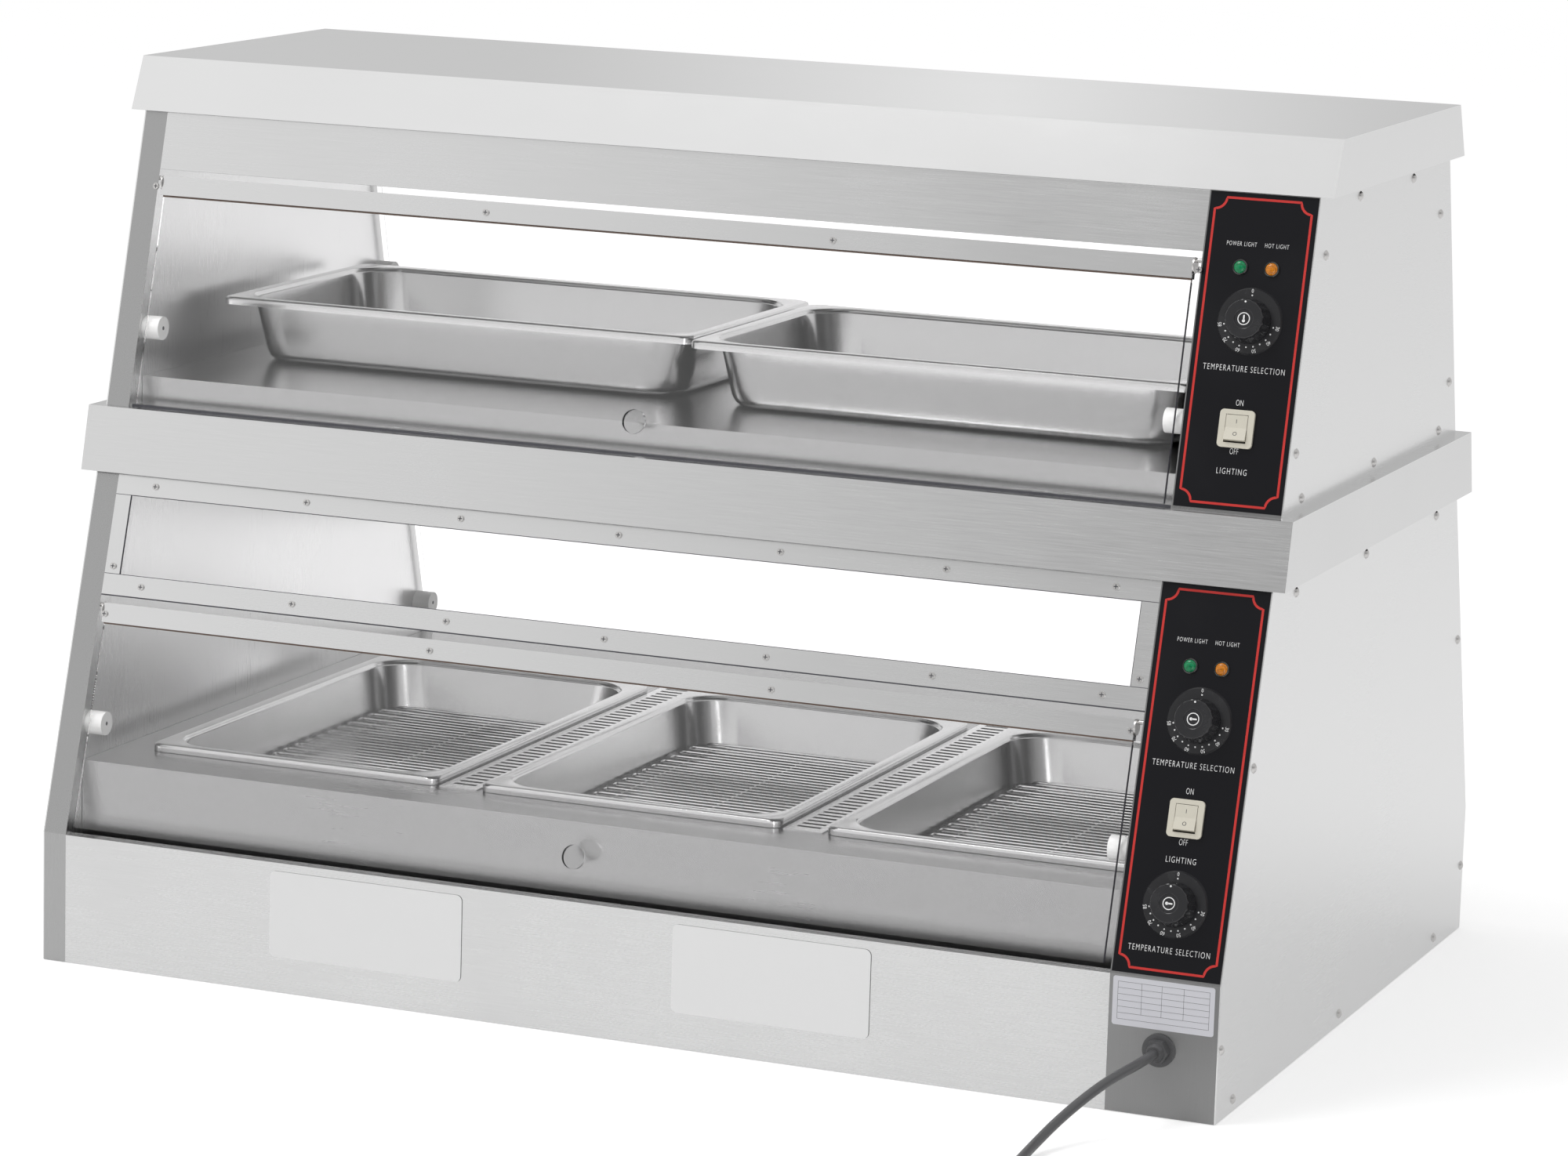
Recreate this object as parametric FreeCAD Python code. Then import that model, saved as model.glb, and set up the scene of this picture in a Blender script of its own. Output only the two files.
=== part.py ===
"""Two-deck heated display cabinet, free-standing, open to both long sides.

Millimetres, +Z up, +X to the right of the person at the controls, +Y to the back.
The shapes are laid out from the front bottom edge and moved at the end, so that the
origin is the middle of the footprint at floor level.
"""
import FreeCAD, Part
import math
import os

V = FreeCAD.Vector
os.makedirs("parts", exist_ok=True)

# Overall shape: the front profile is repeated, mirrored, at the back
depth = 844.0
cap_half = 640.0
body_half = 626.0
post_x = -600.0          # inner face of the left wall
column_x = 517.0         # inner face of the control column
sheet = 1.2
cap_sheet = 1.5

# Lower deck: upright panel, then the leaning front
sill_z = 133.0
lower_top_z = 490.0
lower_top_y = 105.0
body_join_z = 553.5

# Middle cover
mid_low_z = 490.0
mid_low_y = 97.0
mid_top_z = 555.0
mid_top_y = 112.0

# Upper deck
upper_y = 123.0
upper_lean_y = 200.0
upper_top_z = 849.5
upper_join_z = 858.0

# Top cover
top_low_y = 196.0
top_y = 220.0
total_z = 903.0

lower_angle = math.atan2(lower_top_y, lower_top_z - sill_z)
upper_angle = math.atan2(upper_lean_y - upper_y, upper_top_z - mid_top_z)
decks = {"lower": (0.0, sill_z, lower_angle), "upper": (upper_y, mid_top_z, upper_angle)}

# Flaps, in the leaning frame: n is the depth behind the front plane, s the height along it
rail_low = 218.0
rail_high = 238.0
rail_front = -4.0
rail_back = 6.5
rail_left = -593.0
rail_right = 510.0
pane_front = -1.0
pane_thick = 4.5
pane_start = {"lower": 8.0, "upper": 3.5}
pin_n = 3.0
pin_s = 236.0
pin_radius = 2.0
pin_hole_radius = 2.06
pin_reach = 6.5
tab_radius = 7.8
flap_middle = 0.5 * (post_x + column_x)
finger_radius = 12.0
finger_s = {"lower": 43.0, "upper": 33.5}
rail_screw_pitch = {"lower": 366.0, "upper": 372.0}
fascia_low = 245.0
fascia_high = 311.0

# Fixed window over the lower flap
strip_thick = 2.0
window_low = 247.0
window_high = 371.0
strip_height = 21.0
strip_width = 17.0
strip_screw_pitch = 171.5

# Stops
stop_radius = 12.0
stop_length = 20.0
stop_gap = 0.3
stop_s = {"lower": 117.0, "upper": 84.0}

# Decks and pans
deck_z = 204.0
deck_front = 34.0
deck_skirt_z = 40.0
shelf_z = 583.0
shelf_front = 152.0
shelf_left = -599.6
shelf_right = 516.6
pan_long = 530.0
pan_short = 325.0
pan_depth = 65.0
pan_rim = 13.0
pan_lip = 8.0
pan_clear = 0.2
pan_pitch = 372.5
lower_pan_x = -560.0
lower_pan_y = 103.0
upper_pans = {"left": (-577.0, 278.0), "right": (-40.0, 258.0)}
slot_count = 40
slot_pitch = 13.5
slot_width = 6.0
slot_length = 25.0
vent_width = 41.0
vent_length = 560.0
rod_count = 46
rod_pitch = 10.0
rod_thick = 3.0
rack_corner = 25.0

# Controls on the column
control_x = 571.5
lamp_step = 15.5
dial_radius = 32.0
knob_radius = 21.5
knob_height = 18.0
knob_front = 3.6
plate_thick = 0.8
lamps_s = {"lower": 293.5, "upper": 232.5}
dials_s = {"lower": (243.0, 70.0), "upper": (182.0,)}
switch_s = {"lower": 151.0, "upper": 80.0}
plate_span = {"lower": (2.0, 370.0), "upper": (3.0, 303.0)}

# Mains cord
gland_x = 568.0
gland_z = 64.5
cord_diameter = 9.5
coil_middle = 112.0
coil_gap = 2.0
coil_turns_in = 1.5
coil_turns_out = 1.5
coil_tail = 48.0         # straight end before the plug, clear of the turns below

# The lowest knob stands out furthest, so it sets the middle of the footprint
front_most = ((dials_s["lower"][1] - knob_radius + 3) * math.sin(lower_angle)
              - (knob_front + knob_height) * math.cos(lower_angle))
shift_y = -(depth + front_most) / 2


def box(x0, x1, y0, y1, z0, z1):
    return Part.makeBox(x1 - x0, y1 - y0, z1 - z0, V(x0, y0, z0))


def rod(radius, start, end):
    line = end.sub(start)
    return Part.makeCylinder(radius, line.Length, start, line)


def slab(points, x0, x1):
    """A sheet whose outline lies in the YZ plane, as thick as x1 - x0."""
    corners = [V(x0, y, z) for y, z in points]
    face = Part.Face(Part.makePolygon(corners + corners[:1]))
    return face.extrude(V(x1 - x0, 0, 0))


def lean(shape, deck):
    """Tilts a shape drawn upright, with its front at y = 0, onto a deck's front plane."""
    y, z, angle = decks[deck]
    moved = shape.copy()
    moved.rotate(V(0, 0, 0), V(1, 0, 0), -math.degrees(angle))
    moved.translate(V(0, y, z))
    return moved


def to_back(shape):
    return shape.mirror(V(0, depth / 2, 0), V(0, 1, 0))


def save(name, *solids):
    shape = solids[0] if len(solids) == 1 else Part.makeCompound(list(solids))
    shape = shape.copy()
    shape.translate(V(0, shift_y, 0))
    shape.exportStep("parts/" + name + ".step")


def both_sides(shape):
    return [shape, to_back(shape)]


def trapezium(y0, z0, y1, z1, inset=0.0, top=0.0):
    """Front and back profile of a cover: leaning sides and a flat top."""
    return [(y0 + inset, z0), (y1 + inset, z1 - top),
            (depth - y1 - inset, z1 - top), (depth - y0 - inset, z0)]


def leaning(deck, z, inset):
    """Point at height z of a deck's front plane, moved inwards by the inset."""
    y0, z0, angle = decks[deck]
    return y0 + (z - z0) * math.tan(angle) + inset / math.cos(angle), z


def lower_profile(inset=0.0):
    front = [(inset, inset), (inset, sill_z), leaning("lower", body_join_z - inset, inset)]
    return front + [(depth - y, z) for y, z in reversed(front)]


def upper_profile(inset=0.0):
    front = [leaning("upper", mid_top_z + inset, inset),
             leaning("upper", upper_join_z - inset, inset)]
    return front + [(depth - y, z) for y, z in reversed(front)]


profiles = {"lower": lower_profile, "upper": upper_profile}


def pin_bore(x0, x1, deck):
    hole = rod(pin_hole_radius, V(x0, pin_n, pin_s), V(x1, pin_n, pin_s))
    return both_sides(lean(hole, deck))


def left_channel(deck):
    """Left wall with its front, back, top and bottom flanges."""
    profile = profiles[deck]
    outside = -body_half + sheet
    solid = slab(profile(), outside, post_x)
    solid = solid.cut(slab(profile(sheet), outside - 1, post_x - sheet))
    return solid.cut(Part.makeCompound(pin_bore(-body_half, post_x + 1, deck)))


def control_holes(deck):
    """Holes through the column's front for lamps, dial shafts and the switch."""
    tools = []
    for side in (-lamp_step, lamp_step):
        at = V(control_x + side, -5, lamps_s[deck])
        tools.append(rod(5.2, at, at.add(V(0, 10, 0))))
    for height in dials_s[deck]:
        tools.append(rod(4.5, V(control_x, -5, height), V(control_x, 5, height)))
    height = switch_s[deck]
    tools.append(box(control_x - 12.6, control_x + 12.6, -5, 5, height - 14.8, height + 14.8))
    return Part.makeCompound(tools)


def column(deck):
    """Channel of the control column: inner wall with front, back, top and bottom flanges."""
    profile = profiles[deck]
    outside = body_half - sheet
    solid = slab(profile(), column_x, outside)
    solid = solid.cut(slab(profile(sheet), column_x + sheet, outside + 1))
    solid = solid.cut(Part.makeCompound(pin_bore(column_x - 1, column_x + 12, deck)))
    return solid.cut(lean(control_holes(deck), deck))


def cover(x_half, low_y, low_z, high_y, high_z):
    outer = slab(trapezium(low_y, low_z, high_y, high_z), -x_half, x_half)
    low = trapezium(low_y, low_z, high_y, high_z, cap_sheet, cap_sheet)
    low[0] = (low[0][0], low_z - 1)
    low[-1] = (low[-1][0], low_z - 1)
    return outer.cut(slab(low, -x_half + cap_sheet, x_half - cap_sheet))


def covers():
    save("top_cover", cover(cap_half, top_low_y, upper_top_z, top_y, total_z))
    save("middle_cover", cover(cap_half, mid_low_y, mid_low_z, mid_top_y, mid_top_z))


def side_panels():
    for deck in ("lower", "upper"):
        outline = profiles[deck]()
        save(deck + "_side_panels", slab(outline, -body_half, -body_half + sheet),
             slab(outline, body_half - sheet, body_half))
        save(deck + "_left_channel", left_channel(deck))


def columns():
    lower = column("lower")
    bore = rod(7.1, V(gland_x, -5, gland_z), V(gland_x, 5, gland_z))
    feeds = [rod(4.3, V(column_x - 2, y, lower_heater_z), V(column_x + 4, y, lower_heater_z))
             for y in heater_legs]
    save("lower_column", lower.cut(bore).cut(Part.makeCompound(feeds)))
    upper = column("upper")
    feeds = [rod(4.3, V(column_x - 2, y + 60, upper_heater_z), V(column_x + 4, y + 60,
                 upper_heater_z)) for y in heater_legs]
    save("upper_column", upper.cut(Part.makeCompound(feeds)))


def side_screws():
    """Dome heads that hold the side panels, seen on both ends of the cabinet."""
    lower = [(180, 476), (412, 476), (664, 476), (70, 327), (774, 327), (9, 70), (835, 70),
             (52, 12), (396, 12), (740, 12)]
    upper = [(182, 566), (422, 566), (655, 566), (158, 612), (686, 612), (224, 792), (620, 792),
             (330, 838), (514, 838)]
    heads = []
    for y, z in lower + upper:
        for side in (-1, 1):
            dome = Part.makeSphere(6.0, V(side * (body_half - 3.2), y, z))
            keep = box(body_half, body_half + 6, y - 8, y + 8, z - 8, z + 8)
            if side < 0:
                keep = box(-body_half - 6, -body_half, y - 8, y + 8, z - 8, z + 8)
            heads.append(dome.common(keep))
    save("side_screws", *heads)


def base():
    save("base_plate", box(post_x, column_x, sheet, depth - sheet, 0, cap_sheet))
    panel = box(post_x, column_x, 0, sheet, 0, sill_z - 0.5)
    panel = panel.fuse(box(post_x, column_x, 0, 14, sill_z - 0.5 - sheet, sill_z - 0.5))
    panel = panel.removeSplitter()
    save("sill_panels", *both_sides(panel))


def pan_places():
    return [lower_pan_x + k * pan_pitch for k in range(3)]


def vent_middles():
    gap = pan_pitch - pan_short
    return [x + pan_short + gap / 2 for x in pan_places()[:2]]


def heat_deck():
    back = depth - deck_front
    solid = box(shelf_left, shelf_right, deck_front, back, deck_skirt_z, deck_z)
    solid = solid.cut(box(shelf_left - 1, shelf_right + 1, deck_front + cap_sheet,
                          back - cap_sheet, deck_skirt_z - 1, deck_z - cap_sheet))
    holes = []
    for x in pan_places():
        holes.append(box(x + pan_rim - 3, x + pan_short - pan_rim + 3, lower_pan_y + pan_rim - 3,
                         lower_pan_y + pan_long - pan_rim + 3, deck_z - 5, deck_z + 1))
    for x in vent_middles():
        holes.append(box(x - 14, x + 14, lower_pan_y + 10, lower_pan_y + vent_length - 15,
                         deck_z - 5, deck_z + 1))
    save("heat_deck", solid.cut(Part.makeCompound(holes)))


def holed_plate(x0, x1, y0, y1, holes, z0, z1):
    """A flat plate with rectangular holes, made as one face with holes in it."""
    def loop(a, b, c, d):
        return Part.makePolygon([V(a, c, z0), V(b, c, z0), V(b, d, z0), V(a, d, z0), V(a, c, z0)])
    face = Part.Face([loop(x0, x1, y0, y1)] + [loop(*hole) for hole in holes])
    return face.extrude(V(0, 0, z1 - z0))


def vent_strips():
    strips = []
    for x in vent_middles():
        y0 = lower_pan_y + 2
        first = y0 + 14
        holes = [(x - slot_length / 2, x + slot_length / 2, first + k * slot_pitch,
                  first + k * slot_pitch + slot_width) for k in range(slot_count)]
        strips.append(holed_plate(x - vent_width / 2, x + vent_width / 2, y0, y0 + vent_length,
                                  holes, deck_z, deck_z + sheet))
    save("vent_strips", *strips)


def rounded_wire(x0, x1, y0, y1, radius, z):
    """Rectangle with quarter-round corners at height z."""
    a = radius * (1 - math.sqrt(0.5))
    r = radius
    points = [V(x0 + r, y0, z), V(x1 - r, y0, z), V(x1 - a, y0 + a, z), V(x1, y0 + r, z),
              V(x1, y1 - r, z), V(x1 - a, y1 - a, z), V(x1 - r, y1, z), V(x0 + r, y1, z),
              V(x0 + a, y1 - a, z), V(x0, y1 - r, z), V(x0, y0 + r, z), V(x0 + a, y0 + a, z)]
    edges = []
    for k in range(4):
        start, end, middle, after = (points[3 * k], points[3 * k + 1], points[3 * k + 2],
                                     points[(3 * k + 3) % 12])
        edges.append(Part.LineSegment(start, end).toShape())
        edges.append(Part.Arc(end, middle, after).toShape())
    return Part.Wire(edges)


def pan(x, y, size_x, size_y, floor_z):
    """Gastronorm pan: rolled rim, leaning walls, rounded foot; floor_z is its underside."""
    rim_z = floor_z + pan_depth + 4.0
    steps = [(floor_z, 24.0), (floor_z + 6.0, 14.0), (floor_z + 20.0, 8.0), (rim_z - 0.5, 0.0)]

    def bowl(inset, lift):
        wires = []
        for z, draw in steps:
            m = pan_rim + draw + inset
            wires.append(rounded_wire(x + m, x + size_x - m, y + m, y + size_y - m,
                                      46.0 - inset, z + lift if z < rim_z - 1 else rim_z + lift))
        return Part.makeLoft(wires, True, True)

    outer = bowl(0.0, 0.0)
    rim = Part.Face(rounded_wire(x, x + size_x, y, y + size_y, 12.0, rim_z - pan_lip))
    rim = rim.extrude(V(0, 0, pan_lip))
    under = Part.Face(rounded_wire(x + 1, x + size_x - 1, y + 1, y + size_y - 1, 11.0,
                                   rim_z - pan_lip - 1))
    rim = rim.cut(under.extrude(V(0, 0, pan_lip)))
    whole = outer.fuse(rim)
    return whole.cut(bowl(1.0, 1.0))


def pans():
    floor = deck_z + pan_clear + pan_lip - pan_depth - 4.0
    for name, x in zip(("left", "middle", "right"), pan_places()):
        save("lower_pan_" + name, pan(x, lower_pan_y, pan_short, pan_long, floor))
    for name, (x, y) in upper_pans.items():
        save("upper_pan_" + name, pan(x, y, pan_long, pan_short, shelf_z + pan_clear))


def corner_start(reach):
    """Inner edge of a rack's rounded frame, at a distance from the rack's short side."""
    inner = rack_corner - rod_thick
    if reach >= rack_corner:
        return rod_thick
    return rack_corner - math.sqrt(max(inner ** 2 - (rack_corner - reach) ** 2, 0.0))


def racks():
    """Wire racks: a flat grid on four feet in each lower pan."""
    floor = deck_z + pan_clear + pan_lip - pan_depth - 4.0
    z0 = floor + 19.0
    margin = 32.0
    for name, x in zip(("left", "middle", "right"), pan_places()):
        x0 = x + margin
        x1 = x + pan_short - margin
        y0 = lower_pan_y + margin
        y1 = y0 + rod_thick + rod_count * rod_pitch
        middle = 0.5 * (x0 + x1)
        holes = []
        for k in range(rod_count):
            y = y0 + rod_thick + k * rod_pitch
            end = y + rod_pitch - rod_thick
            edge = corner_start(min(y - y0, y1 - end))
            for a, b in ((x0 + edge, middle - 1.5), (middle + 1.5, x1 - edge)):
                holes.append((a, b, y, end))
        grid = holed_plate(x0, x1, y0, y1, holes, z0, z0 + rod_thick)
        frame = Part.Face(rounded_wire(x0, x1, y0, y1, rack_corner, z0))
        grid = grid.common(frame.extrude(V(0, 0, rod_thick)))
        for px in (x0 + 22, x1 - 22):
            for py in (y0 + 21.5, y1 - 21.5):
                grid = grid.fuse(rod(2.0, V(px, py, floor + 1.0), V(px, py, z0 + 0.5)))
        save("rack_" + name, grid)


def shelf():
    back = depth - shelf_front
    solid = box(shelf_left, shelf_right, shelf_front, back, mid_top_z, shelf_z)
    inner = box(shelf_left - 1, shelf_right + 1, shelf_front + cap_sheet, back - cap_sheet,
                mid_top_z - 1, shelf_z - cap_sheet)
    save("upper_shelf", solid.cut(inner))


def ceilings():
    low = box(post_x, column_x, 112.5, depth - 112.5, lower_top_z, lower_top_z + sheet)
    save("lower_ceiling", low)
    plate = box(-618, 618, 206, depth - 206, upper_join_z, upper_join_z + sheet)
    ring = box(-600, 600, 240, depth - 240, upper_join_z, total_z - cap_sheet)
    ring = ring.cut(box(-600 + sheet, 600 - sheet, 240 + sheet, depth - 240 - sheet,
                        upper_join_z - 1, total_z))
    save("upper_ceiling", plate.fuse(ring))


def fascias():
    """Plain boards over the upper flaps, with a flange along the top."""
    board = box(post_x, column_x, 0, sheet, fascia_low, fascia_high)
    board = board.fuse(box(post_x, column_x, 0, 16, fascia_high - sheet, fascia_high))
    save("upper_fascias", *both_sides(lean(board.removeSplitter(), "upper")))


def window():
    glass = box(post_x + 3, column_x - 3, strip_thick, strip_thick + 4, window_low + 2,
                window_high - 2)
    save("fixed_windows", *both_sides(lean(glass, "lower")))
    low = box(post_x, column_x, 0, strip_thick, window_low, window_low + strip_height)
    high = box(post_x, column_x, 0, strip_thick, window_high - strip_height, window_high)
    side0 = box(post_x, post_x + strip_width, 0, strip_thick, window_low + strip_height,
                window_high - strip_height)
    side1 = box(column_x - strip_width, column_x, 0, strip_thick, window_low + strip_height,
                window_high - strip_height)
    strips = []
    for piece in (low, high, side0, side1):
        strips += both_sides(lean(piece, "lower"))
    save("window_strips", *strips)


def screw_head(x, front, s):
    head = rod(3.3, V(x, front, s), V(x, front - 1.6, s))
    cross = box(x - 2.2, x + 2.2, front - 2, front - 0.8, s - 0.4, s + 0.4)
    return head.cut(cross.fuse(box(x - 0.4, x + 0.4, front - 2, front - 0.8, s - 2.2, s + 2.2)))


def window_screws():
    heads = []
    for s in (window_low + strip_height / 2, window_high - strip_height / 2):
        for k in range(-3, 4):
            heads += both_sides(lean(screw_head(flap_middle + k * strip_screw_pitch, 0, s),
                                     "lower"))
    for x in (post_x + 9.0, column_x - 9.0):
        heads += both_sides(lean(screw_head(x, 0, window_low + strip_height + 8), "lower"))
    save("window_screws", *heads)


def stops():
    pieces = []
    n = pane_front + pane_thick + stop_gap + stop_radius
    for deck in ("lower", "upper"):
        for x0 in (post_x, column_x - stop_length):
            s = stop_s[deck]
            stop = rod(stop_radius, V(x0, n, s), V(x0 + stop_length, n, s))
            pieces += both_sides(lean(stop, deck))
    save("flap_stops", *pieces)


def flap(deck):
    """Pieces of one flap, leaned onto its deck: rail, pane, end pins and screws."""
    body = box(rail_left, rail_right, rail_front, rail_back, rail_low, rail_high)
    rail = body.cut(box(rail_left - 1, rail_right + 1, rail_front + sheet, rail_back - sheet,
                        rail_low - 1, rail_high - sheet))
    start = pane_start[deck]
    pane = box(rail_left + 1, rail_right - 1, pane_front, pane_front + pane_thick, start,
               rail_high - sheet - 1)
    at = V(flap_middle, pane_front - 1, finger_s[deck])
    pane = pane.cut(rod(finger_radius, at, at.add(V(0, pane_thick + 2, 0))))
    pins = []
    for x, way in ((rail_left, -1), (rail_right, 1)):
        disc = rod(tab_radius, V(x, 1.5, pin_s - 5), V(x + 1.5 * way, 1.5, pin_s - 5))
        pin = rod(pin_radius, V(x + way, pin_n, pin_s), V(x + way * (pin_reach + 7), pin_n, pin_s))
        pins.append(disc.fuse(pin))
    heads = []
    for k in (-1.5, -0.5, 0.5, 1.5):
        heads.append(screw_head(flap_middle + k * rail_screw_pitch[deck], rail_front,
                                rail_low + 8.5))
    pieces = {"rail": [rail], "pane": [pane], "fittings": pins + heads}
    return {name: [lean(solid, deck) for solid in solids] for name, solids in pieces.items()}


def flaps():
    for deck in ("lower", "upper"):
        for name, solids in flap(deck).items():
            save("front_" + deck + "_flap_" + name, *solids)
            save("back_" + deck + "_flap_" + name, *[to_back(solid) for solid in solids])


def control_plates():
    plates = []
    for deck in ("lower", "upper"):
        low, high = plate_span[deck]
        plate = box(column_x + 1.5, body_half - 1.5, -plate_thick, 0, low, high)
        plates.append(lean(plate.cut(control_holes(deck)), deck))
    save("control_plates", *plates)


def indicators():
    for name, side in (("green", -1), ("amber", 1)):
        pieces = []
        for deck in ("lower", "upper"):
            x = control_x + side * lamp_step
            s = lamps_s[deck]
            lens = Part.makeCone(7.6, 5.8, 3.2, V(x, -plate_thick, s), V(0, -1, 0))
            stem = rod(5.0, V(x, -plate_thick - 0.2, s), V(x, 22, s))
            pieces.append(lean(lens.fuse(stem), deck))
        save(name + "_indicators", *pieces)


def dials():
    """Fixed dial rings, turning knobs and the thermostats behind them."""
    rings = []
    cases = []
    names = {"lower": ("lower", "base"), "upper": ("upper",)}
    for deck in ("lower", "upper"):
        for name, s in zip(names[deck], dials_s[deck]):
            ring = Part.makeCone(dial_radius, dial_radius - 1.5, 2.2, V(control_x, -plate_thick, s),
                                 V(0, -1, 0))
            ring = ring.cut(rod(4.5, V(control_x, 1, s), V(control_x, -9, s)))
            rings.append(lean(ring, deck))
            case = box(control_x - 19, control_x + 19, sheet, 30, s - 19, s + 19)
            case = case.cut(rod(3.05, V(control_x, 0, s), V(control_x, 26, s)))
            cases.append(lean(case, deck))
            front = -knob_front
            knob = Part.makeCone(knob_radius, knob_radius - 3, knob_height, V(control_x, front, s),
                                 V(0, -1, 0))
            grips = []
            for k in range(16):
                turn = 2 * math.pi * (k + 0.5) / 16
                px = control_x + knob_radius * math.cos(turn)
                pz = s + knob_radius * math.sin(turn)
                grips.append(rod(2.2, V(px, front - 2.5, pz), V(px, front - knob_height - 1, pz)))
            knob = knob.cut(Part.makeCompound(grips))
            knob = knob.fuse(rod(3.0, V(control_x, front - 1, s), V(control_x, 22, s)))
            save("knob_" + name, lean(knob, deck))
    save("dial_rings", *rings)
    save("thermostats", *cases)


def rocker_solid(s):
    """Rocker seen edge-on: two shallow facets that meet in the middle."""
    outline = [(-5.5, -12.0), (-4.0, 0.0), (-5.5, 12.0), (0.0, 12.2), (8.0, 6.0), (8.0, -6.0),
               (0.0, -12.2)]
    solid = slab([(y, s + z) for y, z in outline], control_x - 10.5, control_x + 10.5)
    solid.rotate(V(control_x, 3, s), V(1, 0, 0), -7)
    return solid


def switches():
    bodies = []
    for deck in ("lower", "upper"):
        s = switch_s[deck]
        bezel = Part.Face(rounded_wire(control_x - 17, control_x + 17, s - 18, s + 18, 4.0, 0))
        bezel.rotate(V(0, 0, 0), V(1, 0, 0), 90)
        bezel = bezel.extrude(V(0, -3.0, 0))
        bezel.translate(V(0, -plate_thick, 0))
        case = box(control_x - 12.4, control_x + 12.4, -plate_thick - 0.2, 26, s - 14.6, s + 14.6)
        body = bezel.fuse(case)
        body = body.cut(box(control_x - 11, control_x + 11, -9, 19, s - 13.4, s + 13.4))
        pin = rod(1.5, V(control_x - 11.5, 3, s), V(control_x + 11.5, 3, s))
        bodies.append(lean(body.fuse(pin), deck))
        rocker = rocker_solid(s)
        rocker = rocker.cut(rod(1.55, V(control_x - 14, 3, s), V(control_x + 14, 3, s)))
        save("rocker_" + deck, lean(rocker, deck))
    save("switch_bodies", *bodies)


heater_legs = (190.0, 290.0, 440.0, 540.0)
lower_heater_z = 100.0
upper_heater_z = 567.0


def hairpin(y0, y1, z, x0, x1):
    """Tubular heater bent once: two legs along X and a half-round end."""
    radius = (y1 - y0) / 2
    turn = V(x0, (y0 + y1) / 2, z)
    path = Part.Wire([
        Part.LineSegment(V(x1, y0, z), V(x0 + radius, y0, z)).toShape(),
        Part.Arc(V(x0 + radius, y0, z), turn, V(x0 + radius, y1, z)).toShape(),
        Part.LineSegment(V(x0 + radius, y1, z), V(x1, y1, z)).toShape()])
    circle = Part.Wire([Part.Circle(V(x1, y0, z), V(1, 0, 0), 4.0).toShape()])
    return path.makePipeShell([circle], True, False)


def heaters():
    pairs = ((heater_legs[0], heater_legs[1]), (heater_legs[2], heater_legs[3]))
    loops = [hairpin(a, b, lower_heater_z, -540, column_x + 18) for a, b in pairs]
    loops += [hairpin(a + 60, b + 60, upper_heater_z, -540, column_x + 18) for a, b in pairs]
    save("heaters", *loops)
    brackets = []
    for x in (-400.0, 0.0, 400.0):
        plate = box(x, x + 2, 170, 560, cap_sheet, lower_heater_z + 12)
        bores = [rod(4.1, V(x - 1, y, lower_heater_z), V(x + 3, y, lower_heater_z))
                 for y in heater_legs]
        brackets.append(plate.cut(Part.makeCompound(bores)))
        plate = box(x, x + 2, 230, 620, mid_top_z, upper_heater_z + 8)
        bores = [rod(4.1, V(x - 1, y + 60, upper_heater_z), V(x + 3, y + 60, upper_heater_z))
                 for y in heater_legs]
        brackets.append(plate.cut(Part.makeCompound(bores)))
    save("heater_brackets", *brackets)


def lamps():
    """Tube lamps under the two ceilings, with a holder at each end."""
    tubes = []
    holders = []
    for y, z, ceiling in ((152.0, 476.0, lower_top_z), (240.0, 840.0, upper_join_z)):
        tubes.append(rod(8.0, V(-480, y, z), V(400, y, z)))
        for x in (-486.0, 394.0):
            block = box(x, x + 12, y - 12, y + 12, z - 12, ceiling)
            holders.append(block.cut(rod(8.05, V(-480, y, z), V(400, y, z))))
    save("lamp_tubes", *tubes)
    save("lamp_holders", *holders)


def arc_path(points):
    """Straight runs joined by tangent arcs, each as large as its two runs allow."""
    edges = []
    radii = []
    last = points[0]
    for before, corner, after in zip(points, points[1:], points[2:]):
        a = before.sub(corner)
        b = after.sub(corner)
        run = min(a.Length, b.Length)
        a.normalize()
        b.normalize()
        half = (math.pi - a.getAngle(b)) / 2
        radius = 0.45 * run / math.tan(half)
        radii.append(radius)
        start = corner.add(a * (0.45 * run))
        end = corner.add(b * (0.45 * run))
        inward = a.add(b)
        inward.normalize()
        middle = corner.add(inward * (radius / math.cos(half) - radius))
        edges.append(Part.LineSegment(last, start).toShape())
        edges.append(Part.Arc(start, middle, end).toShape())
        last = end
    edges.append(Part.LineSegment(last, points[-1]).toShape())
    return Part.Wire(edges), radii


def tube(path, start, direction, diameter):
    circle = Part.Wire([Part.Circle(start, direction, diameter / 2).toShape()])
    return path.makePipeShell([circle], True, False)


def biarc(p0, t0, p1, t1):
    """Two arcs that leave p0 along t0 and reach p1 along t1, with equal tangent lengths."""
    v = p1.sub(p0)
    t = t0.add(t1)
    a = 2 * (1 - t0.dot(t1))
    b = 2 * v.dot(t)
    if a < 1e-9:
        d = v.dot(v) / (4 * v.dot(t1))
    else:
        d = (-b + math.sqrt(b * b + 4 * a * v.dot(v))) / (2 * a)
    q0 = p0.add(t0 * d)
    q1 = p1.sub(t1 * d)
    join = q0.add(q1) * 0.5
    edges = []
    for start, corner, end in ((p0, q0, join), (join, q1, p1)):
        back = start.sub(corner)
        on = end.sub(corner)
        half = back.getAngle(on) / 2
        back.normalize()
        on.normalize()
        inward = back.add(on)
        inward.normalize()
        reach = start.sub(corner).Length
        radius = reach * math.tan(half)
        middle = corner.add(inward * (reach / math.cos(half) - radius))
        edges.append(Part.Arc(start, middle, end).toShape())
    return edges


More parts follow.
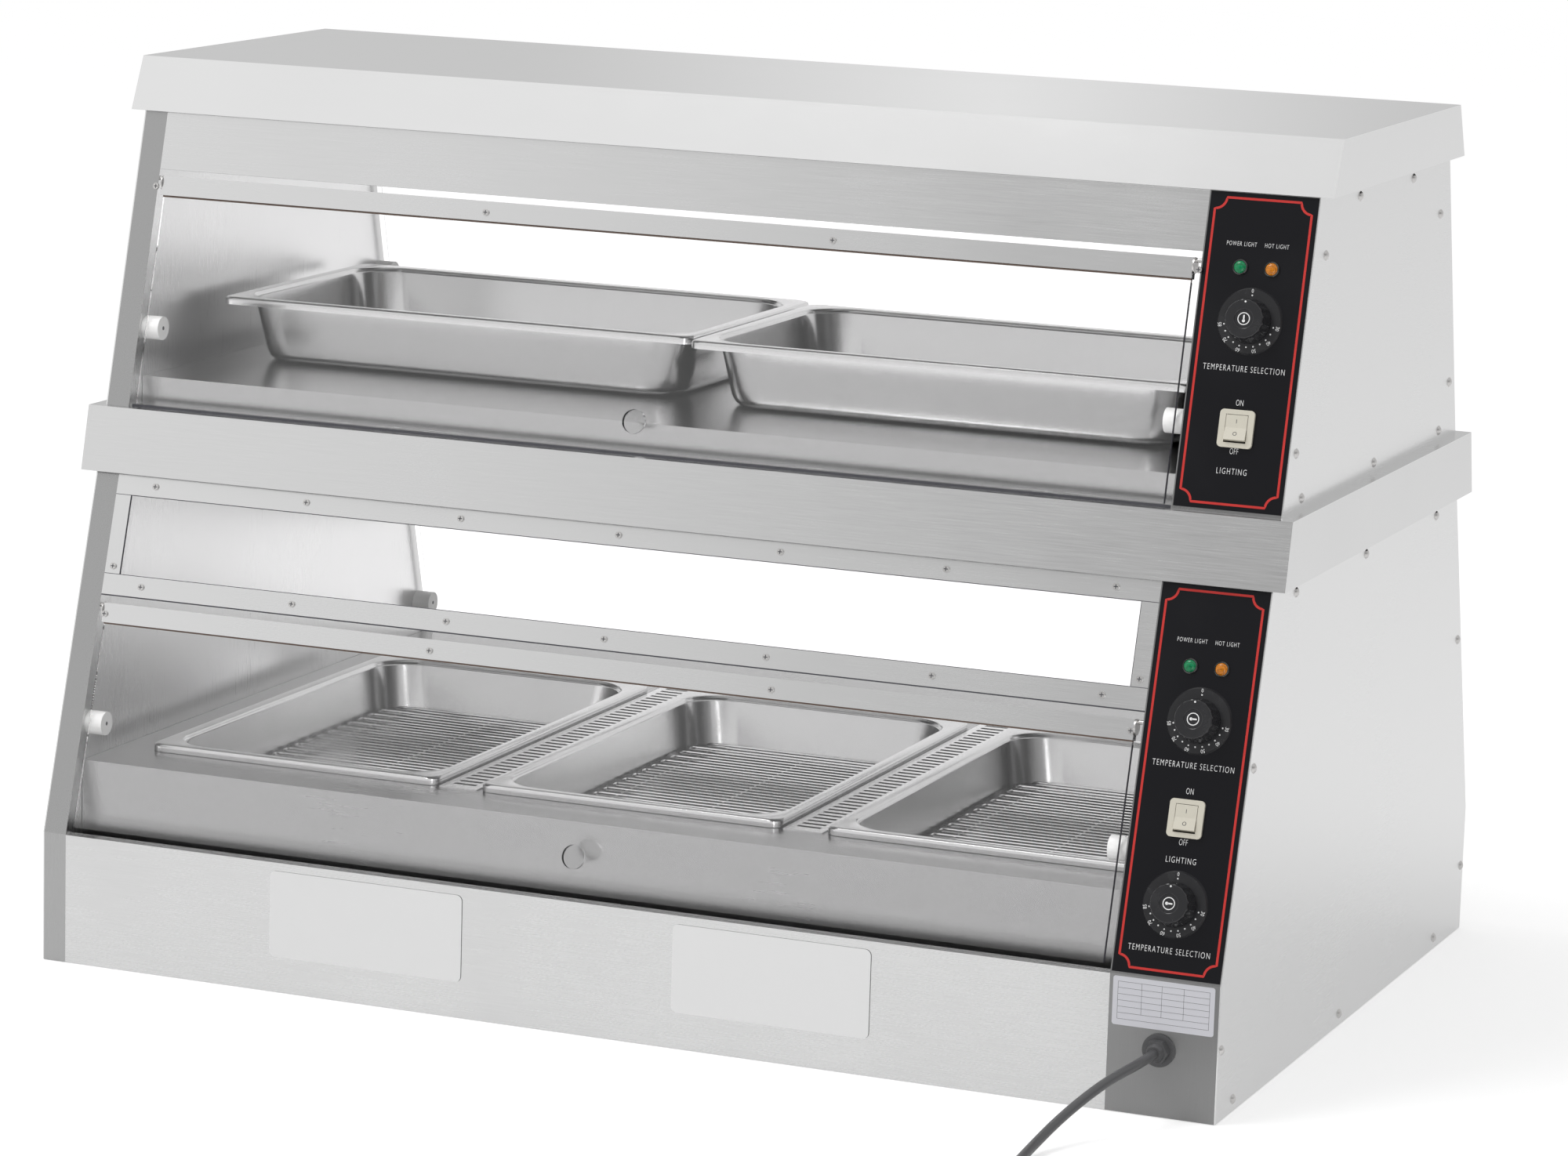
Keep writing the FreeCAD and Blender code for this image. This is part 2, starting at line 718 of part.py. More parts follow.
# Floor route of the free cord, chosen by hand, from the gland to the coil
cord_route = [(568.0, -16.0, 64.5), (568.0, -44.0, 64.5), (545.0, -80.0, 52.0),
              (518.0, -122.0, 26.0), (505.0, -182.0, 4.75), (512.0, -252.0, 4.75),
              (545.0, -330.0, 4.75), (584.0, -400.0, 4.75)]
coil_centre = V(520.0, -470.0, 0.0)


def coil_point(turns):
    """Point and direction on the coil: in along the floor, up a layer, and out on top."""
    step = cord_diameter + coil_gap
    outer = coil_middle / 2 + step * coil_turns_in / 2
    inner = outer - step * coil_turns_in
    rise = 0.5

    def place(t):
        if t <= coil_turns_in:
            radius, lift = outer - step * t, 0.0
        elif t <= coil_turns_in + rise:
            part = (t - coil_turns_in) / rise
            radius, lift = inner, step * (0.5 - 0.5 * math.cos(math.pi * part))
        else:
            radius, lift = inner + step * (t - coil_turns_in - rise), step
        angle = -2 * math.pi * t
        x = coil_centre.x + radius * math.cos(angle)
        y = coil_centre.y + radius * math.sin(angle)
        return V(x, y, cord_diameter / 2 + lift)

    ahead = place(turns + 1e-5)
    behind = place(max(turns - 1e-5, 0.0))
    direction = ahead.sub(behind)
    direction.normalize()
    return place(turns), direction


def cord():
    route = [V(*p) for p in cord_route]
    total = coil_turns_in + 0.5 + coil_turns_out
    count = int(total * 4)
    knots = [coil_point(total * k / count) for k in range(count + 1)]
    start, way = knots[0]
    lead = start.sub(way * cord_diameter)
    approach = lead.sub(way * 50)
    print("cord ends at", [round(c, 1) for c in (*approach, *lead)])
    route = route[:-1] + [approach, lead]
    path, radii = arc_path(route)
    first = route[1].sub(route[0])
    run = tube(path, route[0], first, cord_diameter)
    print("cord run", round(path.Length, 1), "mm, radii", [round(r) for r in radii])
    print("cord volume ratio", run.Volume / (path.Length * math.pi * cord_diameter ** 2 / 4))
    save("cord_run", run)
    edges = [Part.LineSegment(lead, start).toShape()]
    for (p0, t0), (p1, t1) in zip(knots, knots[1:]):
        edges += biarc(p0, t0, p1, t1)
    end, way_out = knots[-1]
    tail = end.add(way_out * coil_tail)
    edges.append(Part.LineSegment(end, tail).toShape())
    wire = Part.Wire(edges)
    coil = tube(wire, lead, way, cord_diameter)
    samples = [coil_point(total * k / 720) for k in range(721)]
    gap = min(a.sub(b).Length for i, (a, _) in enumerate(samples)
              for b, _ in samples[i + 120:]) - cord_diameter
    print("coil", round(wire.Length, 1), "mm, least gap", round(gap, 2), "mm, volume ratio",
          coil.Volume / (wire.Length * math.pi * cord_diameter ** 2 / 4), coil.isValid())
    print("cord length", round(path.Length + wire.Length), "mm, shift", round(shift_y, 3))
    save("cord_coil", coil)
    plug(tail, way_out)


def plug(at, way):
    """Plain three-pin plug on the end of the cord, lying on the floor beside the coil."""
    half = at.z
    relief = Part.makeCone(5.5, 8.5, 18, V(0, 0, 0), V(0, 1, 0))
    body = box(-19, 19, 18, 50, -half, half)
    body = body.makeFillet(5.0, [e for e in body.Edges if abs(e.tangentAt(0).y) < 0.5
                                 and e.CenterOfMass.y > 40])
    pins = [box(-2, 2, 49, 70, 3.0, 9.5), box(-11.5, -5, 49, 66, -8.0, -5.0),
            box(5, 11.5, 49, 66, -8.0, -5.0)]
    solid = relief.fuse(body)
    for pin in pins:
        solid = solid.fuse(pin)
    solid.rotate(V(0, 0, 0), V(0, 0, 1), math.degrees(math.atan2(way.y, way.x)) - 90)
    solid.translate(at)
    save("plug", solid)


def gland():
    at = V(gland_x, 0, gland_z)
    forward = V(0, -1, 0)
    flange = Part.makeCylinder(16.0, 2.0, at, forward)
    corners = [V(gland_x + 12.2 * math.cos(math.pi * k / 3), -2,
                 gland_z + 12.2 * math.sin(math.pi * k / 3)) for k in range(7)]
    nut = Part.Face(Part.makePolygon(corners)).extrude(V(0, -9, 0))
    relief = Part.makeCone(9.5, 7.0, 6, V(gland_x, -10, gland_z), forward)
    thread = Part.makeCylinder(7.0, 14, V(gland_x, -1, gland_z), V(0, 1, 0))
    back_nut = Part.makeCylinder(11.0, 5, V(gland_x, sheet, gland_z), V(0, 1, 0))
    save("cable_gland", flange.fuse([nut, relief, thread, back_nut]))


covers()
side_panels()
columns()
side_screws()
base()
heat_deck()
vent_strips()
pans()
racks()
shelf()
ceilings()
fascias()
window()
window_screws()
stops()
flaps()
control_plates()
indicators()
dials()
switches()
heaters()
lamps()
gland()
cord()
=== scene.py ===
import math
import bpy
import numpy as np
from mathutils import Matrix, Vector


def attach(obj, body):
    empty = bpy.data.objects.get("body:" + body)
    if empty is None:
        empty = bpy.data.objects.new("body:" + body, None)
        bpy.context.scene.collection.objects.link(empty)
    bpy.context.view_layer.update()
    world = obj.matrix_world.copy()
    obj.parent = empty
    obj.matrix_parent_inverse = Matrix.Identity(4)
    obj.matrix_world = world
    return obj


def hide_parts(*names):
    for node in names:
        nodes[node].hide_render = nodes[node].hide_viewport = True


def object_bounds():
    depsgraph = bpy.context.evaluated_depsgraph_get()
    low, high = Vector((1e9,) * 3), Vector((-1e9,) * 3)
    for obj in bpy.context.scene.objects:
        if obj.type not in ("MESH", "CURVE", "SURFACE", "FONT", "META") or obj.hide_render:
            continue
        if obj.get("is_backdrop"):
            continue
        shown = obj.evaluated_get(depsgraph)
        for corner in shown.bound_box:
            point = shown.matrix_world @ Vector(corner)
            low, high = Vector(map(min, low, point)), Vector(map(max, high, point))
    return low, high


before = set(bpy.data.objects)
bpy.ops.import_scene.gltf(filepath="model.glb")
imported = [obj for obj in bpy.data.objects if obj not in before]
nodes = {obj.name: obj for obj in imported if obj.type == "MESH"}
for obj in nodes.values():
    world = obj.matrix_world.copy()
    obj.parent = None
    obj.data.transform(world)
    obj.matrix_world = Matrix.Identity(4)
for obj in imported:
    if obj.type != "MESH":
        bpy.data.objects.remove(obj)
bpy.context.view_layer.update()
print("frame loaded,", len(nodes), "nodes")

# Sizes are in millimetres from the front bottom edge, as on the workshop drawing:
# x from the middle to the right, y to the back, z up. toRow moves them to the row frame.
cabinet = {
    "shiftY": -418.905, "depth": 844.0,
    # y and z of the front's lower edge, and how far it leans
    "planes": {"lower": (0.0, 133.0, math.atan2(105.0, 357.0)),
               "upper": (123.0, 555.0, math.atan2(77.0, 294.5))},
}


def toRow(points):
    # millimetres on the drawing to metres in the row frame
    points = np.asarray(points, float)
    return (points + np.array([0.0, cabinet["shiftY"], 0.0])) * 0.001


def onFront(deck, x, n, s, back=False):
    # a point s up the leaning front and n behind it: y = y0 + s sin a + n cos a, z = z0 + s cos a - n sin a
    y0, z0, lean = cabinet["planes"][deck]
    x, n, s = np.broadcast_arrays(np.asarray(x, float), np.asarray(n, float), np.asarray(s, float))
    y = y0 + s * math.sin(lean) + n * math.cos(lean)
    z = z0 + s * math.cos(lean) - n * math.sin(lean)
    y = cabinet["depth"] - y if back else y
    return np.stack([x, y, z], -1)


# meshes

def addObject(name, data):
    thing = bpy.data.objects.new(name, data)
    bpy.context.scene.collection.objects.link(thing)
    return thing


def addPiece(name, points, faces, finish, body, smooth=True, crease=35):
    # points are row-frame metres, faces lists of corner numbers, crease the angle that stays sharp
    mesh = bpy.data.meshes.new(name)
    mesh.from_pydata(np.asarray(points).reshape(-1, 3).tolist(), [], [list(map(int, f)) for f in faces])
    mesh.update()
    if smooth:
        mesh.shade_smooth()
        mesh.set_sharp_from_angle(angle=math.radians(crease))
    mesh.materials.append(finishes[finish])
    piece = addObject(name, mesh)
    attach(piece, body)
    return piece


def gridFaces(rows, columns, wrapRows=False, flip=False):
    # quads between neighbouring rows and columns of a grid of points whose rows are closed rings
    r = np.arange(rows if wrapRows else rows - 1)[:, None]
    c = np.arange(columns)[None, :]
    rNext = (r + 1) % rows
    cNext = (c + 1) % columns
    quads = np.stack([r * columns + c, r * columns + cNext, rNext * columns + cNext, rNext * columns + c], -1)
    quads = quads.reshape(-1, 4)
    return quads[:, ::-1] if flip else quads


def capped(rows, columns, flip=False):
    # side quads of a tube of rings, with its first and last ring closed by one face each
    faces = gridFaces(rows, columns, flip=flip).tolist()
    start = list(range(columns))
    end = list(range((rows - 1) * columns, rows * columns))
    faces.append(start if flip else start[::-1])
    faces.append(end[::-1] if flip else end)
    return faces


def prismFaces(count, first=0, flip=False):
    # two equal outlines of count points, one after the other, closed by a face each and quads between
    k = np.arange(count)
    after = (k + 1) % count
    quads = np.stack([k, count + k, count + after, after], -1).tolist()
    faces = [k.tolist(), (2 * count - 1 - k).tolist()] + quads
    return [[first + i for i in (f[::-1] if flip else f)] for f in faces]


def leaningBlock(name, side, deck, xs, ns, ss, finish, body):
    # a block on the leaning front or back, between two values each of x, n and s
    back = side == "back"
    corners = [(x, n, s) for x in xs for n in ns for s in ss]
    points = np.array([onFront(deck, *corner, back=back) for corner in corners])
    faces = [(0, 1, 3, 2), (4, 6, 7, 5), (0, 4, 5, 1), (2, 3, 7, 6), (0, 2, 6, 4), (1, 5, 7, 3)]
    if back:
        faces = [f[::-1] for f in faces]
    addPiece(name, toRow(points), faces, finish, body, smooth=False)


def spun(profile, steps, wave=None):
    # profile (radius, height) turned round an axis: point = (r cos t, h, r sin t);
    # wave scales r by angle, to the power that is the profile's third value
    profile = np.asarray(profile, float)
    turn = np.linspace(0, 2 * np.pi, steps, endpoint=False)
    radius = profile[:, :1] * np.ones((1, steps))
    if wave is not None:
        radius = radius * wave(turn)[None, :] ** profile[:, 2:3]
    height = profile[:, 1:2] * np.ones((1, steps))
    return np.stack([radius * np.cos(turn), height, radius * np.sin(turn)], -1)


def roundedLoop(halfX, halfY, radius, perCorner):
    # rectangle with quarter-round corners: corner centre + radius (cos t, sin t), corner by corner
    halfX, halfY, radius = (np.asarray(v, float)[..., None] for v in (halfX, halfY, radius))
    parts = []
    for k, (sx, sy) in enumerate(((1, 1), (-1, 1), (-1, -1), (1, -1))):
        t = np.linspace(k * np.pi / 2, (k + 1) * np.pi / 2, perCorner)
        x = sx * (halfX - radius) + radius * np.cos(t)
        y = sy * (halfY - radius) + radius * np.sin(t)
        parts.append(np.stack([x, y], -1))
    return np.concatenate(parts, -2)


# shader nodes shared by the finishes

def addNode(tree, kind, inputs=None, **settings):
    # a shader node with its settings; each input, by name or place, gets a value or the socket that feeds it
    node = tree.nodes.new("ShaderNode" + kind)
    for label, value in settings.items():
        setattr(node, label, value)
    for label, value in (inputs or {}).items():
        if isinstance(value, bpy.types.NodeSocket):
            tree.links.new(value, node.inputs[label])
        else:
            node.inputs[label].default_value = value
    return node


def newGroup(name, inputs, outputs):
    # named inputs with their usual values, vectors or numbers, and named outputs that are numbers
    group = bpy.data.node_groups.new(name, "ShaderNodeTree")
    for label, value in inputs.items():
        kind = "NodeSocketVector" if isinstance(value, tuple) else "NodeSocketFloat"
        group.interface.new_socket(label, in_out="INPUT", socket_type=kind).default_value = value
    for label in outputs:
        group.interface.new_socket(label, in_out="OUTPUT", socket_type="NodeSocketFloat")
    return group, group.nodes.new("NodeGroupInput").outputs, group.nodes.new("NodeGroupOutput")


brush = {"detail": 5, "roughness": 0.65, "cloudScale": 5.0, "cloudDetail": 3, "cloudShare": 0.4,
         "grainShare": 0.6, "from": 0.3, "to": 0.7, "fineness": 6.0, "reliefDepth": 0.0004, "belowFade": 0.004}


def makeBrushGroup():
    # long fine scratches: noise stretched along one axis, with a slow cloudy change over the sheet
    group, given, leave = newGroup(
        "brushedGrain",
        {"Stretch": (1.0, 90.0, 90.0), "Fineness": 9.0, "Rough Low": 0.22, "Rough High": 0.36, "Shade": 0.06},
        ["Roughness", "Height", "Tone"])
    where = addNode(group, "TexCoord").outputs["Object"]
    stretched = addNode(group, "VectorMath", {0: where, 1: given["Stretch"]}, operation="MULTIPLY")
    grain = addNode(group, "TexNoise", {"Vector": stretched.outputs[0], "Scale": given["Fineness"],
                                        "Detail": brush["detail"], "Roughness": brush["roughness"]})
    cloud = addNode(group, "TexNoise", {"Vector": where, "Scale": brush["cloudScale"],
                                        "Detail": brush["cloudDetail"]})
    part = addNode(group, "Math", {0: cloud.outputs["Fac"], 1: brush["cloudShare"]}, operation="MULTIPLY")
    both = addNode(group, "Math", {0: grain.outputs["Fac"], 1: brush["grainShare"], 2: part.outputs[0]},
                   operation="MULTIPLY_ADD")
    darkest = addNode(group, "Math", {0: 1.0, 1: given["Shade"]}, operation="SUBTRACT")
    for label, low, high in (("Roughness", given["Rough Low"], given["Rough High"]),
                             ("Tone", darkest.outputs[0], 1.0)):
        spread = addNode(group, "MapRange", {"Value": both.outputs[0], "From Min": brush["from"],
                                             "From Max": brush["to"], "To Min": low, "To Max": high})
        group.links.new(spread.outputs[0], leave.inputs[label])
    group.links.new(grain.outputs["Fac"], leave.inputs["Height"])
    return group


smudge = {"detail": 4, "full": 0.75}


def makeSmudgeGroup():
    # patches of handling marks and dust: a broad noise cut by a threshold
    group, given, leave = newGroup(
        "smudges", {"Patch Size": 7.0, "Cover": 0.5, "Clean": 0.05, "Marked": 0.2}, ["Roughness"])
    where = addNode(group, "TexCoord").outputs["Object"]
    noise = addNode(group, "TexNoise", {"Vector": where, "Scale": given["Patch Size"],
                                        "Detail": smudge["detail"]})
    patches = addNode(group, "MapRange", {"Value": noise.outputs["Fac"], "From Min": given["Cover"],
                                          "From Max": smudge["full"]}, interpolation_type="SMOOTHSTEP")
    rough = addNode(group, "MapRange", {"Value": patches.outputs[0], "To Min": given["Clean"],
                                        "To Max": given["Marked"]})
    group.links.new(rough.outputs[0], leave.inputs["Roughness"])
    return group


brushGroup = makeBrushGroup()
smudgeGroup = makeSmudgeGroup()


def newMaterial(name, colour, rough=0.4, metal=0.0, **sockets):
    material = bpy.data.materials.new(name)
    material.use_nodes = True
    shader = material.node_tree.nodes["Principled BSDF"]
    shader.inputs["Base Color"].default_value = (*colour, 1.0)
    shader.inputs["Roughness"].default_value = rough
    shader.inputs["Metallic"].default_value = metal
    for label, value in sockets.items():
        shader.inputs[label.replace("_", " ")].default_value = value
    return material, material.node_tree, shader


def useGroup(tree, shader, group, values):
    # a shared group with this finish's own values, its roughness led to the shader
    node = addNode(tree, "Group", values, node_tree=group)
    tree.links.new(node.outputs["Roughness"], shader.inputs["Roughness"])
    return node


def tint(tree, shader, colour, tone):
    # colour times a slowly changing tone
    mix = addNode(tree, "Mix", {"Factor": 1.0, 6: (*colour, 1.0), 7: tone}, data_type="RGBA",
                  blend_type="MULTIPLY")
    tree.links.new(mix.outputs[2], shader.inputs["Base Color"])
    return mix


def brushedSteel(name, grey, stretch, low, high, shade, bump, paintedSide=None, darkerBelow=None):
    # after the bump may follow an axis, the side of it and the grey of the faces that look that way: painted
    # light or shade by side;
    # then a height in metres and the grey of what lies under it, darker below that height
    colour = (grey,) * 3
    material, tree, shader = newMaterial(name, colour, metal=1.0)
    grain = useGroup(tree, shader, brushGroup, {"Stretch": stretch, "Fineness": brush["fineness"],
                                                "Rough Low": low, "Rough High": high, "Shade": shade})
    ground = tint(tree, shader, colour, grain.outputs["Tone"])
    if paintedSide or darkerBelow:
        where = addNode(tree, "TexCoord")
        split = addNode(tree, "SeparateXYZ", {0: where.outputs["Normal" if paintedSide else "Object"]})
        # faces that look along the axis take the second grey: painted light or shade by side
        if paintedSide:
            axis, side, second = paintedSide
            facing = addNode(tree, "Math", {0: split.outputs[axis], 1: side}, operation="MULTIPLY",
                             use_clamp=True)
            share = addNode(tree, "Math", {0: facing.outputs[0], 1: 2.0}, operation="POWER")
        else:
            # below the height the sheet takes the darker grey
            height, second = darkerBelow
            share = addNode(tree, "MapRange", {"Value": split.outputs["Z"], "From Max": height,
                                               "From Min": height + brush["belowFade"]})
        choose = addNode(tree, "Mix", {"Factor": share.outputs[0], 6: (*colour, 1.0),
                                       7: (second, second, second, 1.0)}, data_type="RGBA")
        tree.links.new(choose.outputs[2], ground.inputs[6])
    relief = addNode(tree, "Bump", {"Strength": bump, "Distance": brush["reliefDepth"],
                                    "Height": grain.outputs["Height"]})
    tree.links.new(relief.outputs["Normal"], shader.inputs["Normal"])
    return material


def smudged(name, colour, clean, marked, patch=7.0, **sockets):
    material, tree, shader = newMaterial(name, colour, **sockets)
    useGroup(tree, shader, smudgeGroup, {"Patch Size": patch, "Cover": 0.5, "Clean": clean, "Marked": marked})
    return material


def clearSheet(name, colour, index):
    # clear plastic, lightly marked, that lets light straight through to what stands behind it
    material, tree, shader = newMaterial(name, colour, 0.02, IOR=index, Transmission_Weight=1.0)
    useGroup(tree, shader, smudgeGroup, {"Patch Size": 4.0, "Cover": 0.55, "Clean": 0.0, "Marked": 0.07})
    path = addNode(tree, "LightPath")
    straight = addNode(tree, "BsdfTransparent", {"Color": (*[0.5 + 0.5 * c for c in colour], 1.0)})
    blend = addNode(tree, "MixShader", {0: path.outputs["Is Shadow Ray"], 1: shader.outputs[0],
                                        2: straight.outputs[0]})
    tree.links.new(blend.outputs[0], tree.nodes["Material Output"].inputs["Surface"])
    return material


facets = {"scale": 620.0, "uneven": 0.15, "edge": 0.7, "middleTone": 1.0, "edgeTone": 0.35}


def facetedLens(name, colour):
    # coloured lamp lens with a honeycomb of small facets under a smooth coat
    material, tree, shader = newMaterial(name, colour, 0.15, Coat_Weight=0.25, Coat_Roughness=0.04,
                                         Specular_IOR_Level=0.3)
    where = addNode(tree, "TexCoord")
    cells = addNode(tree, "TexVoronoi", {"Vector": where.outputs["Object"], "Scale": facets["scale"],
                                         "Randomness": facets["uneven"]})
    tone = addNode(tree, "MapRange", {"Value": cells.outputs["Distance"], "From Max": facets["edge"],
                                      "To Min": facets["middleTone"], "To Max": facets["edgeTone"]})
    tint(tree, shader, colour, tone.outputs[0])
    return material


steels = {
    # grey, stretch of the grain over x, y and z, lowest and highest roughness, shade and relief of the grain
    "alongSteel": (0.74, (4, 300, 300), 0.2, 0.3, 0.05, 0.03),
    "sillSteel": (0.70, (3, 140, 140), 0.22, 0.32, 0.13, 0.08),
    "coverSteel": (0.75, (3, 140, 140), 0.2, 0.3, 0.1, 0.06),
    "topSteel": (0.79, (4, 300, 300), 0.14, 0.2, 0.02, 0.01),
    "acrossSteel": (0.79, (300, 4, 300), 0.2, 0.3, 0.04, 0.03),
    # the seventh value, where given, paints light or shade by side: an axis, its side and the grey of the
    # faces that look that way
    "uprightSteel": (0.42, (300, 300, 4), 0.24, 0.36, 0.1, 0.04, ("X", 1, 0.8)),
    "columnSteel": (0.6, (300, 300, 4), 0.24, 0.36, 0.1, 0.04, ("Y", -1, 0.28)),
    "deckSteel": (0.38, (4, 60, 60), 0.24, 0.28, 0.015, 0.0, ("Y", -1, 0.33)),
    "shelfSteel": (0.66, (4, 60, 60), 0.2, 0.25, 0.03, 0.0, ("Y", -1, 0.4)),
    "insideSteel": (0.62, (6, 40, 40), 0.28, 0.4, 0.1, 0.02),
    # the eighth value, on the pans, gives a height in metres and the darker grey below it
    "panSteel": (0.64, (20, 20, 20), 0.15, 0.2, 0.02, 0.0, None, (0.589, 0.5)),
    "sunkPanSteel": (0.66, (20, 20, 20), 0.17, 0.22, 0.02, 0.0, None, (0.149, 0.24)),
}
plain = {
    # colour, roughness and, on metal, 1
    "wireSteel": ((0.85, 0.85, 0.85), 0.14, 1.0), "screwSteel": ((0.62, 0.61, 0.6), 0.28, 1.0),
    "heaterSteel": ((0.32, 0.3, 0.28), 0.45, 1.0), "lampGlass": ((0.9, 0.88, 0.82), 0.35),
    "caseBlack": ((0.03, 0.03, 0.03), 0.5), "stopWhite": ((0.86, 0.86, 0.85), 0.4),
    "inkWhite": ((0.8, 0.8, 0.8), 0.5), "inkRed": ((0.55, 0.02, 0.015), 0.45),
    "inkDark": ((0.05, 0.05, 0.06), 0.6), "labelWhite": ((0.62, 0.62, 0.66), 0.4),
    "filmWhite": ((0.80, 0.80, 0.80), 0.35), "filmGlue": ((0.16, 0.16, 0.16), 0.6),
    "gasketBrown": ((0.2, 0.14, 0.11), 0.6),
}
finishes = {name: brushedSteel(name, *values) for name, values in steels.items()}
finishes.update({name: newMaterial(name, *values)[0] for name, values in plain.items()})
finishes.update({
    "clearPanel": clearSheet("clearPanel", (0.985, 0.982, 0.985), 1.47),
    "plateBlack": smudged("plateBlack", (0.003, 0.003, 0.005), 0.3, 0.42, Specular_IOR_Level=0.25),
    "dialBlack": smudged("dialBlack", (0.018, 0.018, 0.02), 0.2, 0.34, patch=60.0),
    "switchBeige": smudged("switchBeige", (0.62, 0.59, 0.5), 0.3, 0.42, patch=80.0),
    "cordGrey": smudged("cordGrey", (0.085, 0.085, 0.088), 0.3, 0.42, patch=30.0),
    "bezelDark": newMaterial("bezelDark", (0.02, 0.022, 0.02), 0.12, Coat_Weight=0.5)[0],
    "lensGreen": facetedLens("lensGreen", (0.0, 0.34, 0.12)),
    "lensAmber": facetedLens("lensAmber", (0.92, 0.30, 0.01)),
})
print("finishes made,", len(finishes))

nodeFinish = {
    "topSteel": "top_cover", "coverSteel": "middle_cover upper_fascias", "sillSteel": "sill_panels",
    "alongSteel": "window_strips", "deckSteel": "heat_deck", "shelfSteel": "upper_shelf",
    "acrossSteel": "vent_strips lower_side_panels upper_side_panels",
    "insideSteel": "lower_ceiling upper_ceiling base_plate heater_brackets",
    "uprightSteel": "lower_left_channel upper_left_channel", "columnSteel": "lower_column upper_column",
    "screwSteel": "side_screws window_screws", "clearPanel": "fixed_windows", "plateBlack": "control_plates",
    "stopWhite": "flap_stops lamp_holders", "dialBlack": "dial_rings", "caseBlack": "thermostats",
    "switchBeige": "switch_bodies rocker_lower rocker_upper", "heaterSteel": "heaters",
    "lampGlass": "lamp_tubes", "cordGrey": "cable_gland plug",
}
flaps = [(side, deck) for side in ("front", "back") for deck in ("lower", "upper")]
for side, deck in flaps:
    for part, finish in (("rail", "alongSteel"), ("pane", "clearPanel"), ("fittings", "screwSteel")):
        nodeFinish[finish] += " " + side + "_" + deck + "_flap_" + part
for finish, names in nodeFinish.items():
    for name in names.split():
        nodes[name].data.materials.clear()
        nodes[name].data.materials.append(finishes[finish])
print("node finishes set")


# pans, a profile carried round a rounded rectangle

pans = {
    "shortSide": 325.0, "longSide": 530.0, "perCorner": 12,
    "lower": {"left": (-560.0, 103.0), "middle": (-187.5, 103.0), "right": (185.0, 103.0), "floor": 143.2},
    "upper": {"left": (-577.0, 278.0), "right": (-40.0, 258.0), "floor": 583.2},
    # inset from the rim's edge, height over the underside, corner radius
    "profile": [(60, 1, 20), (38, 1, 34), (32, 1.9, 39), (28, 5, 43), (25.5, 10, 45), (23, 21, 46),
                (15.6, 62, 46), (15.2, 64.2, 46), (13.4, 65.2, 47), (13, 67.2, 47), (12.4, 68.4, 47.5),
                (11, 69, 48), (3.2, 69, 15), (1.2, 68.5, 13), (0.2, 67.2, 12), (0, 65.4, 12), (0, 61.2, 12),
                (0.9, 61.2, 11.4), (1.2, 66.6, 11), (2.6, 68, 14), (12.6, 67.6, 46.5), (14.4, 65, 46),
                (14.6, 62, 45.4), (22, 21, 45), (24.5, 9.6, 44), (27.2, 4.4, 42), (31.4, 0.8, 38),
                (38, 0, 33), (60, 0, 20)],
}


def makePan(name, deck, place, sizeX, sizeY, finish):
    # rounded-rectangle loops carried down the profile, closed by one face inside and one below
    x, y = pans[deck][place]
    body = deck + "_pan_" + place
    profile = np.array(pans["profile"], float)
    inset, rise, radius = profile.T
    loops = roundedLoop(sizeX / 2 - inset, sizeY / 2 - inset, radius, pans["perCorner"])
    height = np.broadcast_to(rise[:, None, None], loops.shape[:2] + (1,)) + pans[deck]["floor"]
    points = np.concatenate([loops + np.array([x + sizeX / 2, y + sizeY / 2]), height], -1)
    faces = capped(*points.shape[:2], flip=True)
    piece = addPiece(name, toRow(points), faces, finish, body)
    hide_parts(body)


for place in ("left", "middle", "right"):
    makePan("panLower_" + place, "lower", place, pans["shortSide"], pans["longSide"], "sunkPanSteel")
for place in ("left", "right"):
    makePan("panUpper_" + place, "upper", place, pans["longSide"], pans["shortSide"], "panSteel")
print("pans made")


# wire racks

racks = {
    "margin": 32.0, "length": 463.0, "corner": 25.0, "height": 20.5, "firstY": 1.5, "endGap": 3.0,
    # hairpins and the steps round their wire and their ends
    "wire": 1.3, "loops": 19, "pitch": 24.6, "loopWidth": 12.3, "aroundWire": 8, "aroundEnd": 9,
    # bars under them: x, radius, ends, bend, and how far they sink into the hairpins and stand off the pan
    "bars": (22.0, 130.5, 239.0), "barWire": 1.9, "barFrom": 26.0, "barTo": 29.0, "bend": 6.0, "bendSteps": 6,
    "barSunk": 0.5, "panSheet": 1.0, "footSunk": 0.2,
}


def ringsAlong(path, radius, around):
    # circles across a path that keeps its x: centre + r (cos t side + sin t (side x tangent)), side along x
    step = np.gradient(path, axis=0)
    step /= np.linalg.norm(step, axis=1, keepdims=True)
    side = np.array([1.0, 0.0, 0.0])
    across = np.cross(side, step)[:, None]
    turn = np.linspace(0, 2 * np.pi, around, endpoint=False)[:, None]
    return path[:, None] + radius * (np.cos(turn) * side + np.sin(turn) * across)


def hairpin(x0, x1):
    # one closed hairpin: half circles at x1 and x0, and r (cos p outward + sin p up) round each point
    end = racks["loopWidth"] / 2
    turn = np.linspace(-np.pi / 2, np.pi / 2, racks["aroundEnd"])
    right = np.stack([x1 - end + end * np.cos(turn), end * np.sin(turn)], -1)
    left = np.stack([x0 + end - end * np.cos(turn), -end * np.sin(turn)], -1)
    loop = np.concatenate([right, left])
    loop = np.concatenate([loop, np.zeros((len(loop), 1))], 1)
    tangent = np.roll(loop, -1, 0) - np.roll(loop, 1, 0)
    tangent /= np.linalg.norm(tangent, axis=1, keepdims=True)
    outward = np.stack([tangent[:, 1], -tangent[:, 0], np.zeros(len(loop))], -1)
    phase = np.linspace(0, 2 * np.pi, racks["aroundWire"], endpoint=False)[:, None]
    ring = np.cos(phase) * outward[:, None] + np.sin(phase) * np.array([0, 0, 1.0])
    return loop[:, None] + racks["wire"] * ring


